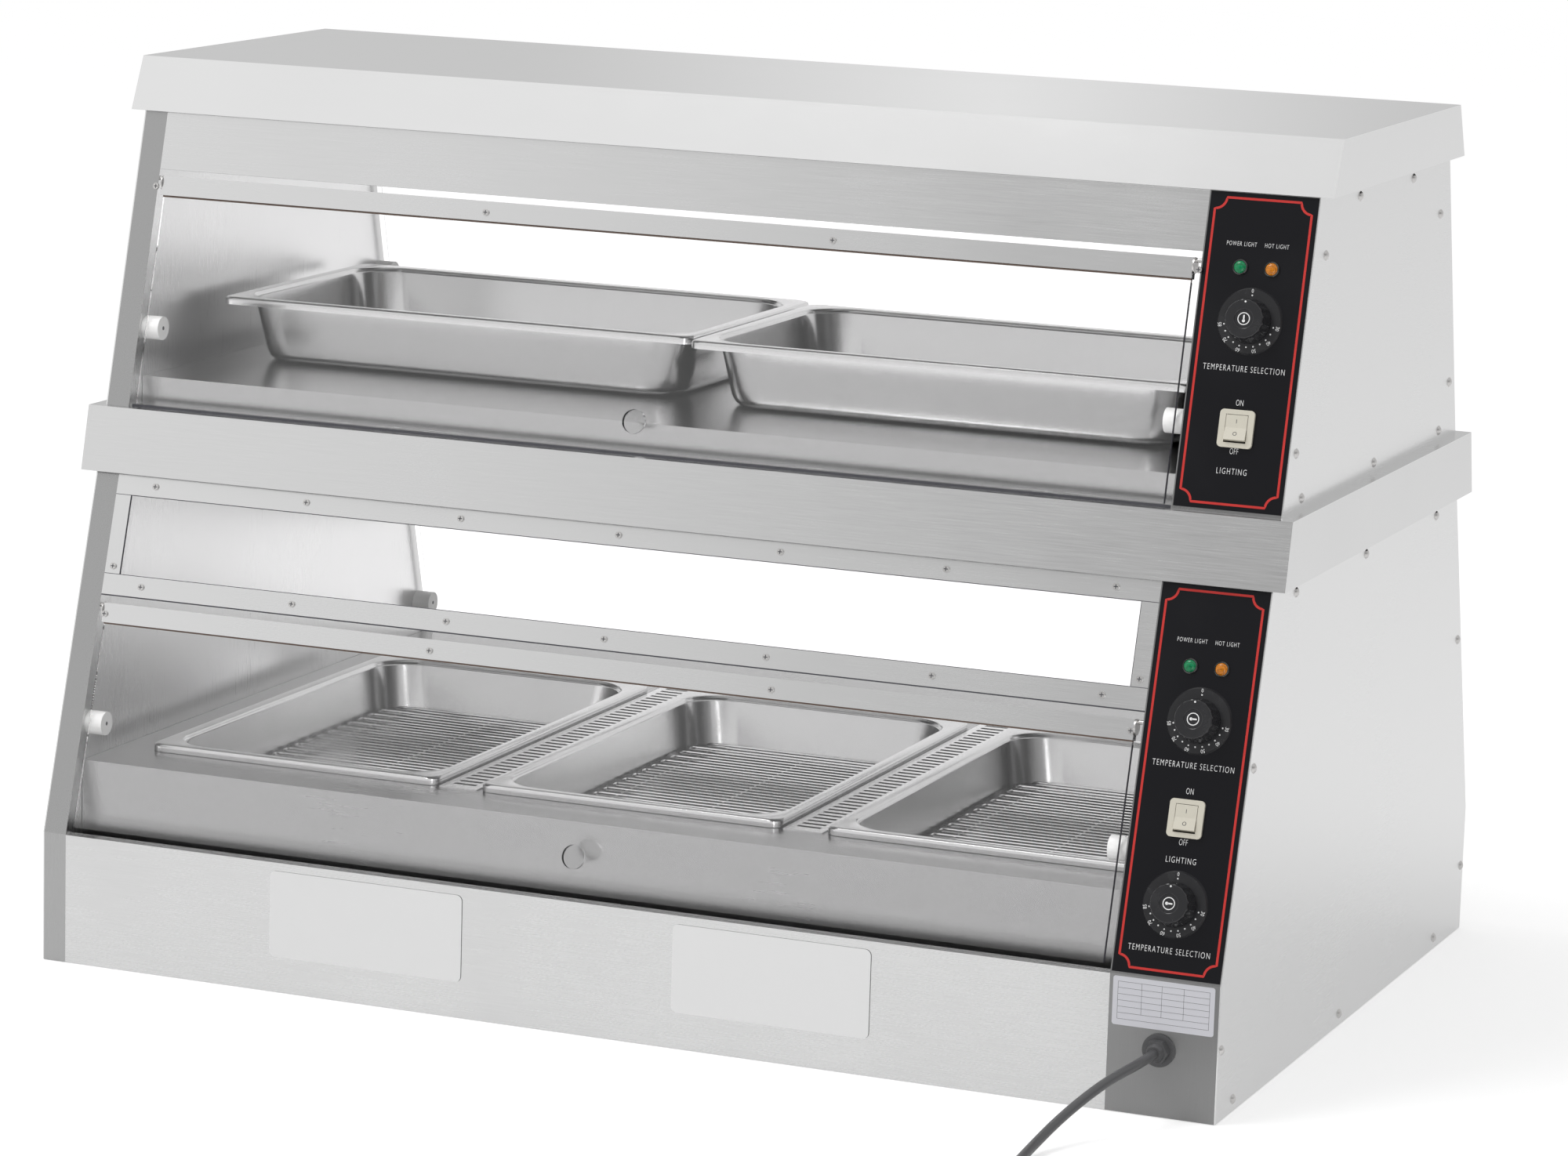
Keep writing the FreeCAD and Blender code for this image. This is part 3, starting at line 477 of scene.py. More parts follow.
def makeRack(place):
    # hairpins side by side, each of them the same loop of wire moved along y
    x, y = pans["lower"][place]
    x0, x1 = x + racks["margin"], x + pans["shortSide"] - racks["margin"]
    y0 = y + racks["margin"] + racks["firstY"]
    floor = pans["lower"]["floor"]
    z = floor + racks["height"]
    tube = hairpin(x0, x1)
    end = racks["loopWidth"] / 2
    starts = end + racks["pitch"] * np.arange(racks["loops"])
    shifts = np.stack([np.zeros(racks["loops"]), starts + y0, np.full(racks["loops"], z)], -1)
    points = tube[None] + shifts[:, None, None]
    # the first and last hairpins are shorter, inside the rack's rounded corners: r - sqrt(r^2 - (r - d)^2)
    reach = np.minimum(starts - end, racks["length"] - starts - end - racks["endGap"])
    missing = racks["corner"] - np.clip(reach, 0, racks["corner"])
    shorter = racks["corner"] - np.sqrt(racks["corner"] ** 2 - missing ** 2)
    points[:, :racks["aroundEnd"], :, 0] -= shorter[:, None, None]
    points[:, racks["aroundEnd"]:, :, 0] += shorter[:, None, None]
    perLoop = tube.shape[0] * tube.shape[1]
    one = gridFaces(*tube.shape[:2], wrapRows=True)
    faces = (one[None] + perLoop * np.arange(racks["loops"])[:, None, None]).reshape(-1, 4).tolist()
    parts = [points.reshape(-1, 3)]
    count = perLoop * racks["loops"]
    # bars across under the hairpins, their ends bent down to stand on the pan
    yA, yB = y0 + racks["barFrom"], y0 + racks["length"] - racks["barTo"]
    bend = racks["bend"]
    barZ = z - racks["wire"] - racks["barWire"] + racks["barSunk"] - bend
    quarter = np.linspace(0, np.pi / 2, racks["bendSteps"])
    foot = floor + racks["panSheet"] + racks["barWire"] * racks["footSunk"]
    rise = np.stack([yA - bend * np.cos(quarter), barZ + bend * np.sin(quarter)], -1)
    fall = np.stack([yB + bend * np.sin(quarter), barZ + bend * np.cos(quarter)], -1)
    line = np.concatenate([[[yA - bend, foot]], rise, fall, [[yB + bend, foot]]])
    for across in racks["bars"]:
        path = np.concatenate([np.full((len(line), 1), x0 + across), line], 1)
        rings = ringsAlong(path, racks["barWire"], racks["aroundWire"])
        faces += [[count + i for i in f] for f in capped(*rings.shape[:2], flip=True)]
        parts.append(rings.reshape(-1, 3))
        count += len(parts[-1])
    piece = addPiece("rackWires_" + place, toRow(np.concatenate(parts)), faces, "wireSteel",
                     "lower_pan_" + place)
    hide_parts("rack_" + place)


for place in ("left", "middle", "right"):
    makeRack(place)
print("racks made")


# controls

controls = {
    "middle": 571.5, "lampStep": 15.5, "plateFront": -0.8, "plateX": (518.5, 624.5), "clear": 0.01,
    "lamps": {"lower": 293.5, "upper": 232.5},
    "dials": {"knob_lower": ("lower", 243.0, 90.0), "knob_base": ("lower", 70.0, 90.0),
              "knob_upper": ("upper", 182.0, 0.0)},
    "plates": {"lower": (2.0, 370.0), "upper": (3.0, 303.0)},
}
knob = {
    "steps": 192, "grips": 16, "depth": 0.05, "sharp": 0.7,
    # radius, depth, how strongly the grips cut in
    "profile": [(3.0, 22.0, 0), (3.0, -3.6, 0), (21.3, -3.6, 0.2), (21.5, -4.2, 0.3), (21.2, -6.0, 0.9),
                (20.4, -12.0, 1), (19.6, -18.0, 1), (19.2, -20.0, 0.8), (18.6, -21.0, 0.4), (17.6, -21.6, 0),
                (9.6, -21.6, 0), (9.1, -21.3, 0), (8.9, -20.9, 0), (2.0, -20.9, 0)],
    # the pointer's distance from the middle, radius and depth, and the thermometer sign in the middle
    "pointer": (16.2, 0.95, -21.58), "signFront": -20.88, "ring": (5.6, 0.9), "bulb": (2.0, 1.5),
    "stem": (0.75, 2.6, 0.74), "stemShare": 0.55,
}


def gripWave(turn):
    # shallow hollows: 1 - depth (1 + cos(grips t)) / 2, squared off by a power
    hollow = (0.5 + 0.5 * np.cos(knob["grips"] * turn)) ** knob["sharp"]
    return 1.0 - knob["depth"] * hollow


def flatOnFront(deck, centre, outline, n, name, finish, body, thick=0.12, turn=0.0):
    # a thin flat shape on the leaning front; outline is (x, s) pairs round the centre (x, s)
    c, d = math.cos(turn), math.sin(turn)
    x, s = (np.asarray(outline, float) @ np.array([[c, -d], [d, c]]) + np.array(centre)).T
    both = np.concatenate([onFront(deck, x, n - thick, s), onFront(deck, x, n, s)])
    addPiece(name, toRow(both), prismFaces(len(outline)), finish, body, smooth=False)


def band(deck, path, width, n, name, finish, body, thick=0.1):
    # a line of constant width along a closed path: path -/+ half the width along its normal
    path = np.asarray(path, float)
    step = np.roll(path, -1, 0) - np.roll(path, 1, 0)
    step /= np.linalg.norm(step, axis=1, keepdims=True)
    normal = np.stack([step[:, 1], -step[:, 0]], -1)
    inner = path - normal * width / 2
    outer = path + normal * width / 2
    rings = [onFront(deck, side[:, 0], depth, side[:, 1])
             for side, depth in ((inner, n), (inner, n - thick), (outer, n - thick), (outer, n))]
    faces = gridFaces(len(path), 4, wrapRows=True, flip=True)
    addPiece(name, toRow(np.stack(rings, 1)), faces, finish, body, smooth=False)


def letter(text, size, deck, x, s, n, name, finish, body, turn=0.0, stretch=1.0, thick=0.08, slope=0.0,
           spacing=1.0, thinner=0.0):
    # text made a mesh, stood on the leaning front and turned about its own middle; slope is n per s
    curve = bpy.data.curves.new(name, "FONT")
    curve.body = text
    curve.size = size
    curve.align_x = curve.align_y = "CENTER"
    curve.extrude = thick / 2
    curve.resolution_u = 3
    curve.space_character = spacing
    curve.offset = -thinner * size
    holder = addObject(name + "Text", curve)
    bpy.context.view_layer.update()
    flat = bpy.data.meshes.new_from_object(holder.evaluated_get(bpy.context.evaluated_depsgraph_get()))
    bpy.data.objects.remove(holder)
    bpy.data.curves.remove(curve)
    points = np.empty(len(flat.vertices) * 3)
    flat.vertices.foreach_get("co", points)
    points = points.reshape(-1, 3) * np.array([stretch, 1.0, 1.0])
    c, d = math.cos(turn), math.sin(turn)
    px = points[:, 0] * c + points[:, 1] * d
    ps = -points[:, 0] * d + points[:, 1] * c
    row = toRow(onFront(deck, x + px, n + slope * ps - thick / 2 - points[:, 2], s + ps))
    flat.vertices.foreach_set("co", row.ravel())
    flat.update()
    flat.name = name
    flat.materials.clear()
    flat.materials.append(finishes[finish])
    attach(addObject(name, flat), body)


def circle(radius, steps):
    # r (cos t, sin t)
    turn = np.linspace(0, 2 * np.pi, steps, endpoint=False)
    return np.stack([radius * np.cos(turn), radius * np.sin(turn)], -1)


def makeKnob(node, deck, s, signTurn):
    # grips cut into a turned profile, on the leaning axis of its shaft
    x = controls["middle"]
    shape = spun(knob["profile"], knob["steps"], gripWave)
    points = onFront(deck, x + shape[..., 0], shape[..., 1], s + shape[..., 2])
    piece = addPiece("turned_" + node, toRow(points), capped(*points.shape[:2], flip=True), "dialBlack", node,
                     crease=28)
    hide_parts(node)
    ink = "inkWhite"
    away, radius, front = knob["pointer"]
    flatOnFront(deck, (x, s + away), circle(radius, 14), front, "pointer_" + node, ink, node)
    front = knob["signFront"]
    radius, width = knob["ring"]
    band(deck, circle(radius, 40) + np.array([x, s]), width, front, "iconRing_" + node, ink, node)
    # thermometer sign: a bulb and a rounded stem
    turn = math.radians(signTurn)
    away, radius = knob["bulb"]
    low = np.array([math.sin(turn + np.pi), math.cos(turn + np.pi)]) * away
    high = -low * knob["stemShare"]
    flatOnFront(deck, (x + low[0], s + low[1]), circle(radius, 18), front, "iconBulb_" + node, ink, node)
    flatOnFront(deck, (x + high[0], s + high[1]), roundedLoop(*knob["stem"], 5), front, "iconStem_" + node,
                ink, node, turn=turn)


scale = {"marks": [("0", 0), ("30", 100), ("40", 132), ("50", 164), ("60", 196), ("70", 228), ("85", 260)],
         "halfStep": 16, "dotRadius": 24.6, "dot": 0.8, "numberRadius": 28.6, "size": 5.2, "narrow": 0.85,
         "front": -2.98}


def makeScale(node, deck, s):
    # white dots and numbers round the fixed ring, their tops outwards
    x = controls["middle"]
    angles = [a for _, a in scale["marks"]] + [a + scale["halfStep"] for _, a in scale["marks"][1:-1]]
    for k, a in enumerate(np.radians(angles)):
        at = (x + scale["dotRadius"] * math.sin(a), s + scale["dotRadius"] * math.cos(a))
        flatOnFront(deck, at, circle(scale["dot"], 12), scale["front"], "dot%d_%s" % (k, node), "inkWhite",
                    "cabinet")
    for k, (text, angle) in enumerate(scale["marks"]):
        a = math.radians(angle)
        letter(text, scale["size"], deck, x + scale["numberRadius"] * math.sin(a),
               s + scale["numberRadius"] * math.cos(a), scale["front"],
               "number%d_%s" % (k, node), "inkWhite", "cabinet", turn=a, stretch=scale["narrow"])


for node, (deck, s, signTurn) in controls["dials"].items():
    makeKnob(node, deck, s, signTurn)
    makeScale(node, deck, s)
print("dials made")

# radius and depth of the bezel and of the lens
lamp = {"steps": 48,
        "bezel": [(4.9, 22.0), (4.9, -0.8), (7.5, -0.8), (7.6, -1.4), (7.3, -2.6), (6.7, -3.1), (6.1, -3.0),
                  (5.9, -2.4)],
        "lens": [(5.88, -2.0), (5.85, -2.9), (5.0, -3.9), (3.4, -4.6), (1.6, -4.95), (0.4, -5.0)]}


def makeLampPart(name, profile, colour, side, finish):
    # one turned profile in both decks' lamps
    x = controls["middle"] + side * controls["lampStep"]
    shape = spun(profile, lamp["steps"])
    size = shape.shape[0] * shape.shape[1]
    points = [onFront(deck, x + shape[..., 0], shape[..., 1], s + shape[..., 2]).reshape(-1, 3)
              for deck, s in controls["lamps"].items()]
    faces = [[first + i for i in f] for first in (0, size) for f in capped(*shape.shape[:2], flip=True)]
    return addPiece(name + colour, toRow(np.concatenate(points)), faces, finish, "cabinet")


for colour, side in (("Green", -1), ("Amber", 1)):
    bezels = makeLampPart("lampBezels", lamp["bezel"], colour, side, "bezelDark")
    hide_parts(colour.lower() + "_indicators")
    makeLampPart("lampLenses", lamp["lens"], colour, side, "lens" + colour)

border = {"inset": 5.4, "corner": 11.0, "width": 2.3}


def plateBorder(deck):
    # a rectangle whose corners are scooped inwards by quarter circles
    (x0, x1), (s0, s1) = controls["plateX"], controls["plates"][deck]
    x0, x1 = x0 + border["inset"], x1 - border["inset"]
    s0, s1 = s0 + border["inset"], s1 - border["inset"]
    r = border["corner"]
    path = []
    for cx, cs, start in ((x1, s1, -90), (x0, s1, 0), (x0, s0, 90), (x1, s0, 180)):
        t = np.radians(np.linspace(start, start - 90, 12))
        path.append(np.stack([cx + r * np.cos(t), cs + r * np.sin(t)], -1))
    return np.concatenate(path)


captions = {
    # letter size, narrowing and spacing, and how much thinner all strokes are;
    # text, kind, distance to the right of the plate's middle, and height
    "small": (6.1, 0.64, 1.22), "large": (8.4, 0.66, 1.26), "short": (8.4, 0.58, 1.05), "thinner": 0.012,
    "upper": [("POWER LIGHT", "small", -17.0, 254.5), ("HOT LIGHT", "small", 17.5, 254.5),
              ("TEMPERATURE SELECTION", "large", 0.0, 136.5), ("ON", "short", 0.0, 104.5),
              ("OFF", "short", 0.0, 58.5), ("LIGHTING", "large", 0.0, 39.5)],
    "lower": [("POWER LIGHT", "small", -17.0, 317.5), ("HOT LIGHT", "small", 17.5, 317.5),
              ("TEMPERATURE SELECTION", "large", 0.0, 200.5), ("ON", "short", 0.0, 176.5),
              ("OFF", "short", 0.0, 128.5), ("LIGHTING", "large", 0.0, 111.5),
              ("TEMPERATURE SELECTION", "large", 0.0, 26.5)],
}
for deck in ("lower", "upper"):
    front = controls["plateFront"]
    band(deck, plateBorder(deck), border["width"], front - controls["clear"], "border_" + deck, "inkRed",
         "cabinet")
    for k, (text, kind, dx, s) in enumerate(captions[deck]):
        size, narrow, spacing = captions[kind]
        letter(text, size, deck, controls["middle"] + dx, s, front + controls["clear"],
               "caption%d_%s" % (k, deck), "inkWhite", "cabinet", stretch=narrow, spacing=spacing,
               thinner=captions["thinner"])
print("control plates made")


# labels

labels = {
    # each film's left and right, their bottom and top, and the painted shadow that shows at two edges
    "films": [(-367.0, -155.0), (71.0, 277.0)], "filmZ": (36.0, 124.0), "filmCorner": 6.0,
    "edge": (0.7, 0.25), "edgeThick": 0.175, "plate": (520.5, 620.5, 84.0, 131.0), "plateCorner": 2.5,
    "thick": 0.25, "front": -0.01,
    # the rating plate's ruled lines: insets, rows, columns, width, front and thickness
    "inset": 5.0, "insetLow": 6.0, "rows": 6, "columns": (0.0, 0.26, 0.48, 0.72, 1.0), "line": 0.28,
    "lineFront": -0.27, "lineThick": 0.03,
}


def uprightFlat(name, outline, y, thick, finish):
    # a thin plate on the upright front: the outline (x, z) at y - thick, and the same at y
    outline = np.asarray(outline, float)
    count = len(outline)
    depth = np.repeat([y - thick, y], count)
    both = np.stack([np.tile(outline[:, 0], 2), depth, np.tile(outline[:, 1], 2)], -1)
    addPiece(name, toRow(both), prismFaces(count), finish, "cabinet", smooth=False)


def roundedPlate(x0, x1, z0, z1, corner, perCorner):
    # a rounded rectangle between two values each of x and z
    middle = np.array([x0 + x1, z0 + z1]) / 2
    return roundedLoop((x1 - x0) / 2, (z1 - z0) / 2, corner, perCorner) + middle


for k, (x0, x1) in enumerate(labels["films"]):
    outline = roundedPlate(x0, x1, *labels["filmZ"], labels["filmCorner"], 7)
    uprightFlat("film%d" % k, outline, labels["front"], labels["thick"], "filmWhite")
    # a dark copy of each film, shifted right and up, shows at two edges as a painted shadow
    outline = outline + np.array(labels["edge"])
    uprightFlat("filmEdge%d" % k, outline, labels["front"], labels["edgeThick"], "filmGlue")
outline = roundedPlate(*labels["plate"], labels["plateCorner"], 6)
uprightFlat("ratingPlate", outline, labels["front"], labels["thick"], "labelWhite")


def ruleLine(name, xa, xb, za, zb):
    # a ruled line round the one from (xa, za) to (xb, zb), which runs along x or along z
    wide = labels["line"] / 2 if xa == xb else 0.0
    high = labels["line"] / 2 if za == zb else 0.0
    xa, xb, za, zb = xa - wide, xb + wide, za - high, zb + high
    outline = [(xa, za), (xb, za), (xb, zb), (xa, zb)]
    uprightFlat(name, outline, labels["lineFront"], labels["lineThick"], "inkDark")


x0, x1, z0, z1 = labels["plate"]
x0, x1, z0, z1 = x0 + labels["inset"], x1 - labels["inset"], z0 + labels["insetLow"], z1 - labels["inset"]
for k in range(labels["rows"] + 1):
    z = z1 + (z0 - z1) * k / labels["rows"]
    ruleLine("ruleRow%d" % k, x0, x1, z, z)
for k, part in enumerate(labels["columns"]):
    x = x0 + (x1 - x0) * part
    # the inner columns leave the last row whole
    low = z0 if part in (0.0, 1.0) else z0 + (z1 - z0) / labels["rows"]
    ruleLine("ruleColumn%d" % k, x, x, low, z1)
print("labels made")


# marks on the rockers

# letter, height over the switch's middle, depth and slope of the rocker's face
marks = {"size": 5.4, "switches": {"lower": 151.0, "upper": 80.0},
         "markOn": ("I", 6.6, -3.97, 0.0), "markOff": ("O", -5.2, -5.48, 0.252)}
for deck, s in marks["switches"].items():
    for name in ("markOn", "markOff"):
        text, ds, n, slope = marks[name]
        letter(text, marks["size"], deck, controls["middle"], s + ds, n, name + "_" + deck, "inkDark",
               "rocker_" + deck, slope=slope)


# gaskets, pane edges, and painted shadow lines along the shelf and the window strips

gasket = {"x": (-592.0, 509.0), "n": (-1.3, 3.8), "s": (216.8, 218.0)}
paneEdge = {"x": {"Left": (-592.38, -592.03), "Right": (509.03, 509.38)}, "n": (-0.7, 3.2),
            "s": {"lower": (8.4, 214.0), "upper": (3.9, 214.0)}}
# a dark strip just behind the foot of each upper pane: a painted shadow line
shelfShade = {"x": (-598.0, 515.0), "n": (3.3, 4.3), "s": (-1.0, 3.2)}
for side, deck in flaps:
    leaningBlock("gasket_" + side + "_" + deck, side, deck, gasket["x"], gasket["n"], gasket["s"],
                 "gasketBrown", side + "_" + deck + "_flap")
for side, deck in flaps:
    for end, xs in paneEdge["x"].items():
        leaningBlock("paneEdge" + end + "_" + side + "_" + deck, side, deck, xs, paneEdge["n"],
                     paneEdge["s"][deck], "inkDark", side + "_" + deck + "_flap")
for side in ("front", "back"):
    leaningBlock("shelfShadowLine_" + side, side, "upper", shelfShade["x"], shelfShade["n"], shelfShade["s"], "inkDark", "cabinet")

# outer and inner edges of the window strips, and how wide the painted shadow lines along them are
stripShadow = {"x": (-600.0, 517.0), "inX": (-583.0, 500.0), "inS": (268.0, 350.0), "low": 247.0, "wide": 0.6,
         "under": 1.2, "gap": 0.02, "n": (-0.05, 1.9)}


def shadowLinePlaces():
    # ranges of x and s of the painted shadow lines: under the window's low strip, then along the inner edges
    # of its four strips
    gap, wide = stripShadow["gap"], stripShadow["wide"]
    (x0, x1), (s0, s1) = stripShadow["inX"], stripShadow["inS"]
    between = (s0 + wide, s1 - wide)
    return [(stripShadow["x"], (stripShadow["low"] - stripShadow["under"], stripShadow["low"] - gap)),
            (stripShadow["x"], (s0 + gap, s0 + wide)), (stripShadow["x"], (s1 - wide, s1 - gap)),
            ((x0 + gap, x0 + wide), between), ((x1 - wide, x1 - gap), between)]


for side in ("front", "back"):
    for k, (xs, ss) in enumerate(shadowLinePlaces()):
        leaningBlock("windowShadowLine%d_%s" % (k, side), side, "lower", xs, stripShadow["n"], ss, "inkDark", "cabinet")
print("gaskets and joints made")


# screw holes in the stops, painted dark as the shade inside them

stopHole = {"radius": 2.0, "steps": 16, "thick": 0.06, "sunk": 0.3, "n": 15.8,
            "ends": ((-580.0, 1), (497.0, -1)), "s": {"lower": 117.0, "upper": 84.0}}


def makeStopHoles():
    # dark discs on the stops' ends, painted shade of the holes, each a circle just under the end and the same
    # circle a little outside
    points, faces, count = [], [], 0
    disc = circle(stopHole["radius"], stopHole["steps"])
    for deck, s in stopHole["s"].items():
        for back in (False, True):
            for x, way in stopHole["ends"]:
                for at in (x - way * stopHole["sunk"], x + way * stopHole["thick"]):
                    points.append(onFront(deck, at, stopHole["n"] + disc[:, 0], s + disc[:, 1], back))
                faces += prismFaces(len(disc), count, flip=(way > 0) != back)
                count += 2 * len(disc)
    addPiece("stopHoles", toRow(np.concatenate(points)), faces, "inkDark", "cabinet", smooth=False)


makeStopHoles()


# cross slots in the screws, painted dark as the shade inside them

slots = {
    "arm": 2.1, "half": 0.42, "front": 1.62, "thick": 0.06, "sunk": 0.3, "middle": -41.5,
    # screws of the window strips, along the strips and at their sides, and screws of the rails
    "windowPitch": 171.5, "windowS": (257.5, 360.5), "sideX": (-591.0, 508.0), "sideS": 276.0,
    "railPitch": {"lower": 366.0, "upper": 372.0}, "railFront": -4.0, "railS": 226.5,
}


def makeSlots(name, places, body, back):
    # a dark cross on each screw head, painted shade of its slot; a place is deck, x, the front of the sheet
    # under the screw, and s
    arm, half = slots["arm"], slots["half"]
    cross = np.array([(-arm, -half), (-half, -half), (-half, -arm), (half, -arm), (half, -half), (arm, -half),
                      (arm, half), (half, half), (half, arm), (-half, arm), (-half, half), (-arm, half)])
    points, faces = [], []
    for k, (deck, x, front, s) in enumerate(places):
        n = front - slots["front"]
        for depth in (n - slots["thick"], n + slots["sunk"]):
            points.append(onFront(deck, x + cross[:, 0], depth, s + cross[:, 1], back))
        faces += prismFaces(len(cross), 2 * len(cross) * k, flip=back)
    addPiece(name, toRow(np.concatenate(points)), faces, "inkDark", body, smooth=False)


for side in ("front", "back"):
    across = slots["middle"] + slots["windowPitch"] * np.arange(-3, 4)
    places = [("lower", x, 0.0, s) for s in slots["windowS"] for x in across]
    places += [("lower", x, 0.0, slots["sideS"]) for x in slots["sideX"]]
    makeSlots("slotsWindow_" + side, places, "cabinet", side == "back")
    for deck, pitch in slots["railPitch"].items():
        across = slots["middle"] + pitch * np.arange(-1.5, 2)
        places = [(deck, x, slots["railFront"], slots["railS"]) for x in across]
        makeSlots("slotsRail_" + side + "_" + deck, places, side + "_" + deck + "_flap", side == "back")
print("screw slots made")


# mains cord

cord = {
    "diameter": 9.5,
    # free run: straight out of the gland, down, and over the floor to the coil
    "route": [(568.0, -16.0, 64.5), (568.0, -44.0, 64.5), (545.0, -80.0, 52.0), (518.0, -122.0, 26.0),
              (505.0, -182.0, 4.75), (512.0, -252.0, 4.75), (545.0, -330.0, 4.75), (586.3, -410.5, 4.75),
              (584.9, -460.5, 4.75)],
    "coilCentre": (520.0, -470.0), "coilMiddle": 112.0, "gap": 2.0, "turnsIn": 1.5, "riseTurns": 0.5,
    "turnsOut": 1.5, "perTurn": 24, "tail": 48.0, "length": 1.748,
}


def coilLine():
    # flat spiral inwards on the floor, half a turn up, flat spiral outwards on top
    step = cord["diameter"] + cord["gap"]
    outer = cord["coilMiddle"] / 2 + step * cord["turnsIn"] / 2
    total = cord["turnsIn"] + cord["riseTurns"] + cord["turnsOut"]
    t = np.linspace(0, total, int(total * cord["perTurn"]) + 1)
    risen = t - cord["turnsIn"]
    rise = np.clip(risen / cord["riseTurns"], 0, 1)
    radius = outer - step * np.minimum(t, cord["turnsIn"]) + step * np.maximum(risen - cord["riseTurns"], 0)
    angle = -2 * np.pi * t
    cx, cy = cord["coilCentre"]
    z = cord["diameter"] / 2 + step * (0.5 - 0.5 * np.cos(np.pi * rise))
    return np.stack([cx + radius * np.cos(angle), cy + radius * np.sin(angle), z], -1)


coil = coilLine()
outward = (coil[-1] - coil[-2]) / np.linalg.norm(coil[-1] - coil[-2])
tail = coil[-1] + outward * np.array([[cord["diameter"]], [cord["tail"]]])
metres = toRow(np.concatenate([np.array(cord["route"]), coil, tail]))
curve = bpy.data.curves.new("mainsCord", "CURVE")
curve.dimensions = "3D"
curve.bevel_depth = cord["diameter"] / 2000
curve.bevel_resolution = 5
curve.resolution_u = 6
spline = curve.splines.new("NURBS")
spline.points.add(len(metres) - 1)
spline.points.foreach_set("co", np.concatenate([metres, np.ones((len(metres), 1))], 1).ravel())
spline.order_u = 3
spline.use_endpoint_u = True
curve.use_fill_caps = True
curve.materials.append(finishes["cordGrey"])
flex = addObject("mainsCord", curve)
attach(flex, "cabinet")
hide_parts("cord_run", "cord_coil")
print("cord made")


# floor, light and camera

studio = {
    "floorColour": 0.82, "floorSize": 12.0, "floorDrop": 0.0006,
    # what is added to the floor where it is seen directly or through clear sheets, and in metal
    "seenLift": 0.38, "mirrorLift": 0.2,
    # place, target, size, power, and whether the camera sees it
    "lights": {"keySoftbox": ((-1.0, -1.2, 3.6), (0.0, 0.0, 0.4), (1.6, 1.6), 45.0, True),
               "sideStrip": ((1.3, -2.1, 0.55), (0.0, 0.0, 0.55), (0.24, 1.1), 4.0, False)},
    # greys in front, to the left and to the right, over the sine of the elevation
    "frontLeft": [(0.0, 0.9), (0.1, 0.95), (0.3, 1.0), (0.6, 0.95), (1.0, 0.85)],
    "frontRight": [(0.0, 0.75), (0.08, 0.5), (0.2, 0.26), (0.34, 0.3), (0.46, 0.55), (0.6, 0.85),
                   (1.0, 0.85)],
    # greys behind, from left to right over the given range of x
    "behind": [(0.0, 0.64), (0.3, 0.62), (0.43, 0.86), (0.55, 0.62), (1.0, 0.7)], "behindX": (-0.6, 0.0),
    # where left goes over into right, in x, and front into behind, in y
    "frontEdge": (-0.42, -0.28), "backEdge": (-0.1, 0.35),
}


def seenDirectly(tree):
    # 1 for what the camera sees directly or through clear sheets
    path = addNode(tree, "LightPath")
    seen = addNode(tree, "Math", {0: path.outputs["Is Camera Ray"], 1: path.outputs["Is Transmission Ray"]},
                   operation="MAXIMUM")
    return path, seen.outputs[0]


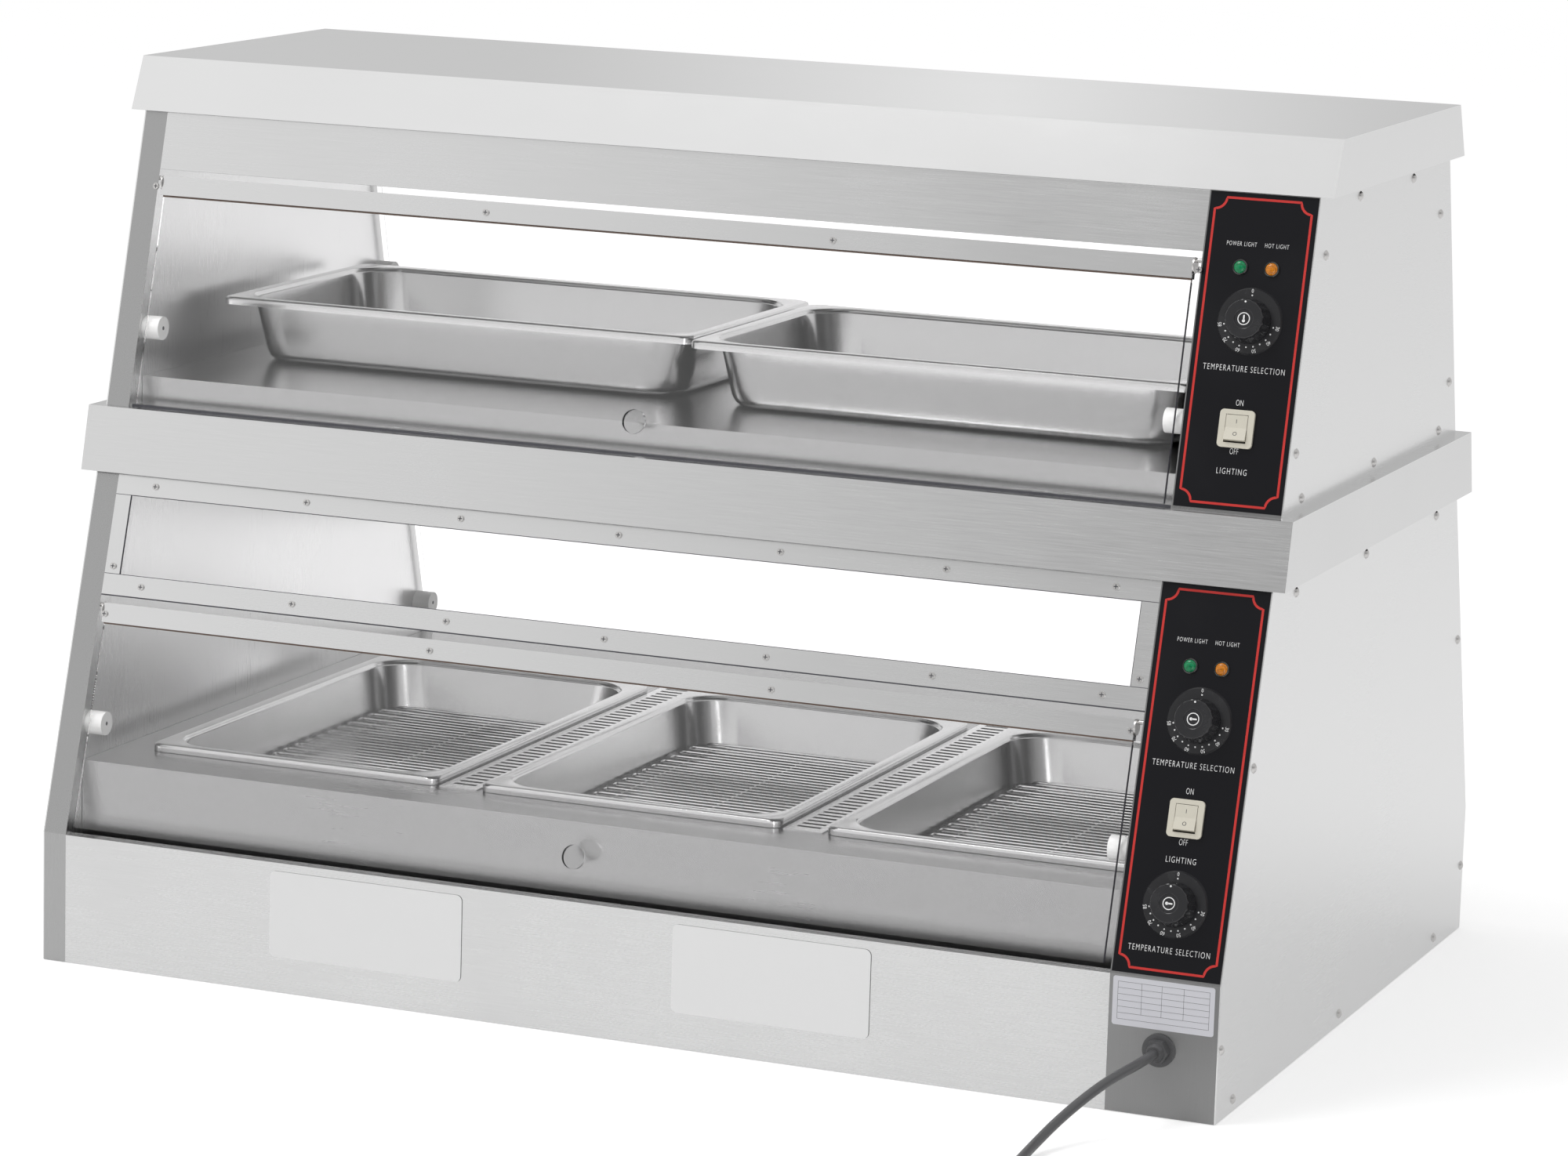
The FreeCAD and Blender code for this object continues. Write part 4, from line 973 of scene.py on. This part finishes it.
def makeFloor():
    # where the camera, metal or clear sheets show it, it is as pale as the backdrop and keeps its shadow
    size, z = studio["floorSize"], -studio["floorDrop"]
    corners = [(-size, -size, z), (size, -size, z), (size, size, z), (-size, size, z)]
    mesh = bpy.data.meshes.new("studioFloor")
    mesh.from_pydata(corners, [], [(0, 1, 2, 3)])
    material, tree, shader = newMaterial("floorPale", (studio["floorColour"],) * 3, 0.9,
                                         Specular_IOR_Level=0.0, Emission_Color=(1, 1, 1, 1))
    path, seen = seenDirectly(tree)
    direct = addNode(tree, "Math", {0: seen, 1: studio["seenLift"]}, operation="MULTIPLY")
    lift = addNode(tree, "Math", {0: path.outputs["Is Glossy Ray"], 1: studio["mirrorLift"],
                                  2: direct.outputs[0]}, operation="MULTIPLY_ADD")
    tree.links.new(lift.outputs[0], shader.inputs["Emission Strength"])
    mesh.materials.append(material)
    addObject("studioFloor", mesh)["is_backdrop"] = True


def makeWorld():
    # white where seen directly; as light it is darkest low on the right, and bright to the left and overhead
    world = bpy.data.worlds.new("studio")
    bpy.context.scene.world = world
    world.use_nodes = True
    tree = world.node_tree
    x, y, z = addNode(tree, "SeparateXYZ", {0: addNode(tree, "TexCoord").outputs["Generated"]}).outputs

    def greys(values, source):
        ramp = addNode(tree, "ValToRGB", {0: source})
        stops = ramp.color_ramp.elements
        stops.remove(stops[-1])
        for k, (position, value) in enumerate(values):
            stop = stops[0] if k == 0 else stops.new(position)
            stop.position, stop.color = position, (value, value, value, 1)
        return ramp.outputs[0]

    def between(source, limits, kind="SMOOTHSTEP"):
        change = addNode(tree, "MapRange", {"Value": source, "From Min": limits[0], "From Max": limits[1]},
                         interpolation_type=kind)
        return change.outputs[0]

    def blend(factor, first, second):
        return addNode(tree, "Mix", {"Factor": factor, 6: first, 7: second}, data_type="RGBA").outputs[2]

    left, right = greys(studio["frontLeft"], z), greys(studio["frontRight"], z)
    front = blend(between(x, studio["frontEdge"]), left, right)
    behind = greys(studio["behind"], between(x, studio["behindX"], "LINEAR"))
    light = blend(between(y, studio["backEdge"]), front, behind)
    back = tree.nodes["Background"]
    tree.links.new(blend(seenDirectly(tree)[1], light, (1, 1, 1, 1)), back.inputs["Color"])
    back.inputs["Strength"].default_value = 1.0


def addArea(name, place, target, size, power, seen):
    light = bpy.data.lights.new(name, "AREA")
    light.shape = "RECTANGLE"
    light.size, light.size_y = size
    light.energy = power
    piece = addObject(name, light)
    piece.visible_camera = seen
    piece.location = place
    piece.rotation_euler = (Vector(target) - Vector(place)).to_track_quat("-Z", "Y").to_euler()


camera = {"lens": 123.83, "sensor": 36.0, "azimuth": 22.24, "elevation": 10.673, "roll": -1.711,
          "place": (2074.0, -4641.5, 1419.4), "reach": 100.0}


def makeCamera():
    data = bpy.data.cameras.new("photoCamera")
    data.lens = camera["lens"]
    data.sensor_width = camera["sensor"]
    data.clip_end = camera["reach"]
    az, el, roll = (math.radians(camera[k]) for k in ("azimuth", "elevation", "roll"))
    forward = Vector((-math.sin(az) * math.cos(el), math.cos(az) * math.cos(el), -math.sin(el)))
    right = forward.cross(Vector((0, 0, 1))).normalized()
    down = forward.cross(right).normalized()
    rolledRight = math.cos(roll) * right + math.sin(roll) * down
    rolledDown = -math.sin(roll) * right + math.cos(roll) * down
    turn = Matrix((rolledRight, -rolledDown, -forward)).transposed().to_4x4()
    piece = addObject("photoCamera", data)
    piece.matrix_world = Matrix.Translation(Vector(toRow(camera["place"]).tolist())) @ turn
    bpy.context.scene.camera = piece


makeFloor()
makeWorld()
for name, values in studio["lights"].items():
    addArea(name, *values)
makeCamera()
bpy.context.scene.view_settings.view_transform = "Standard"
print("studio made")

low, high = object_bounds()
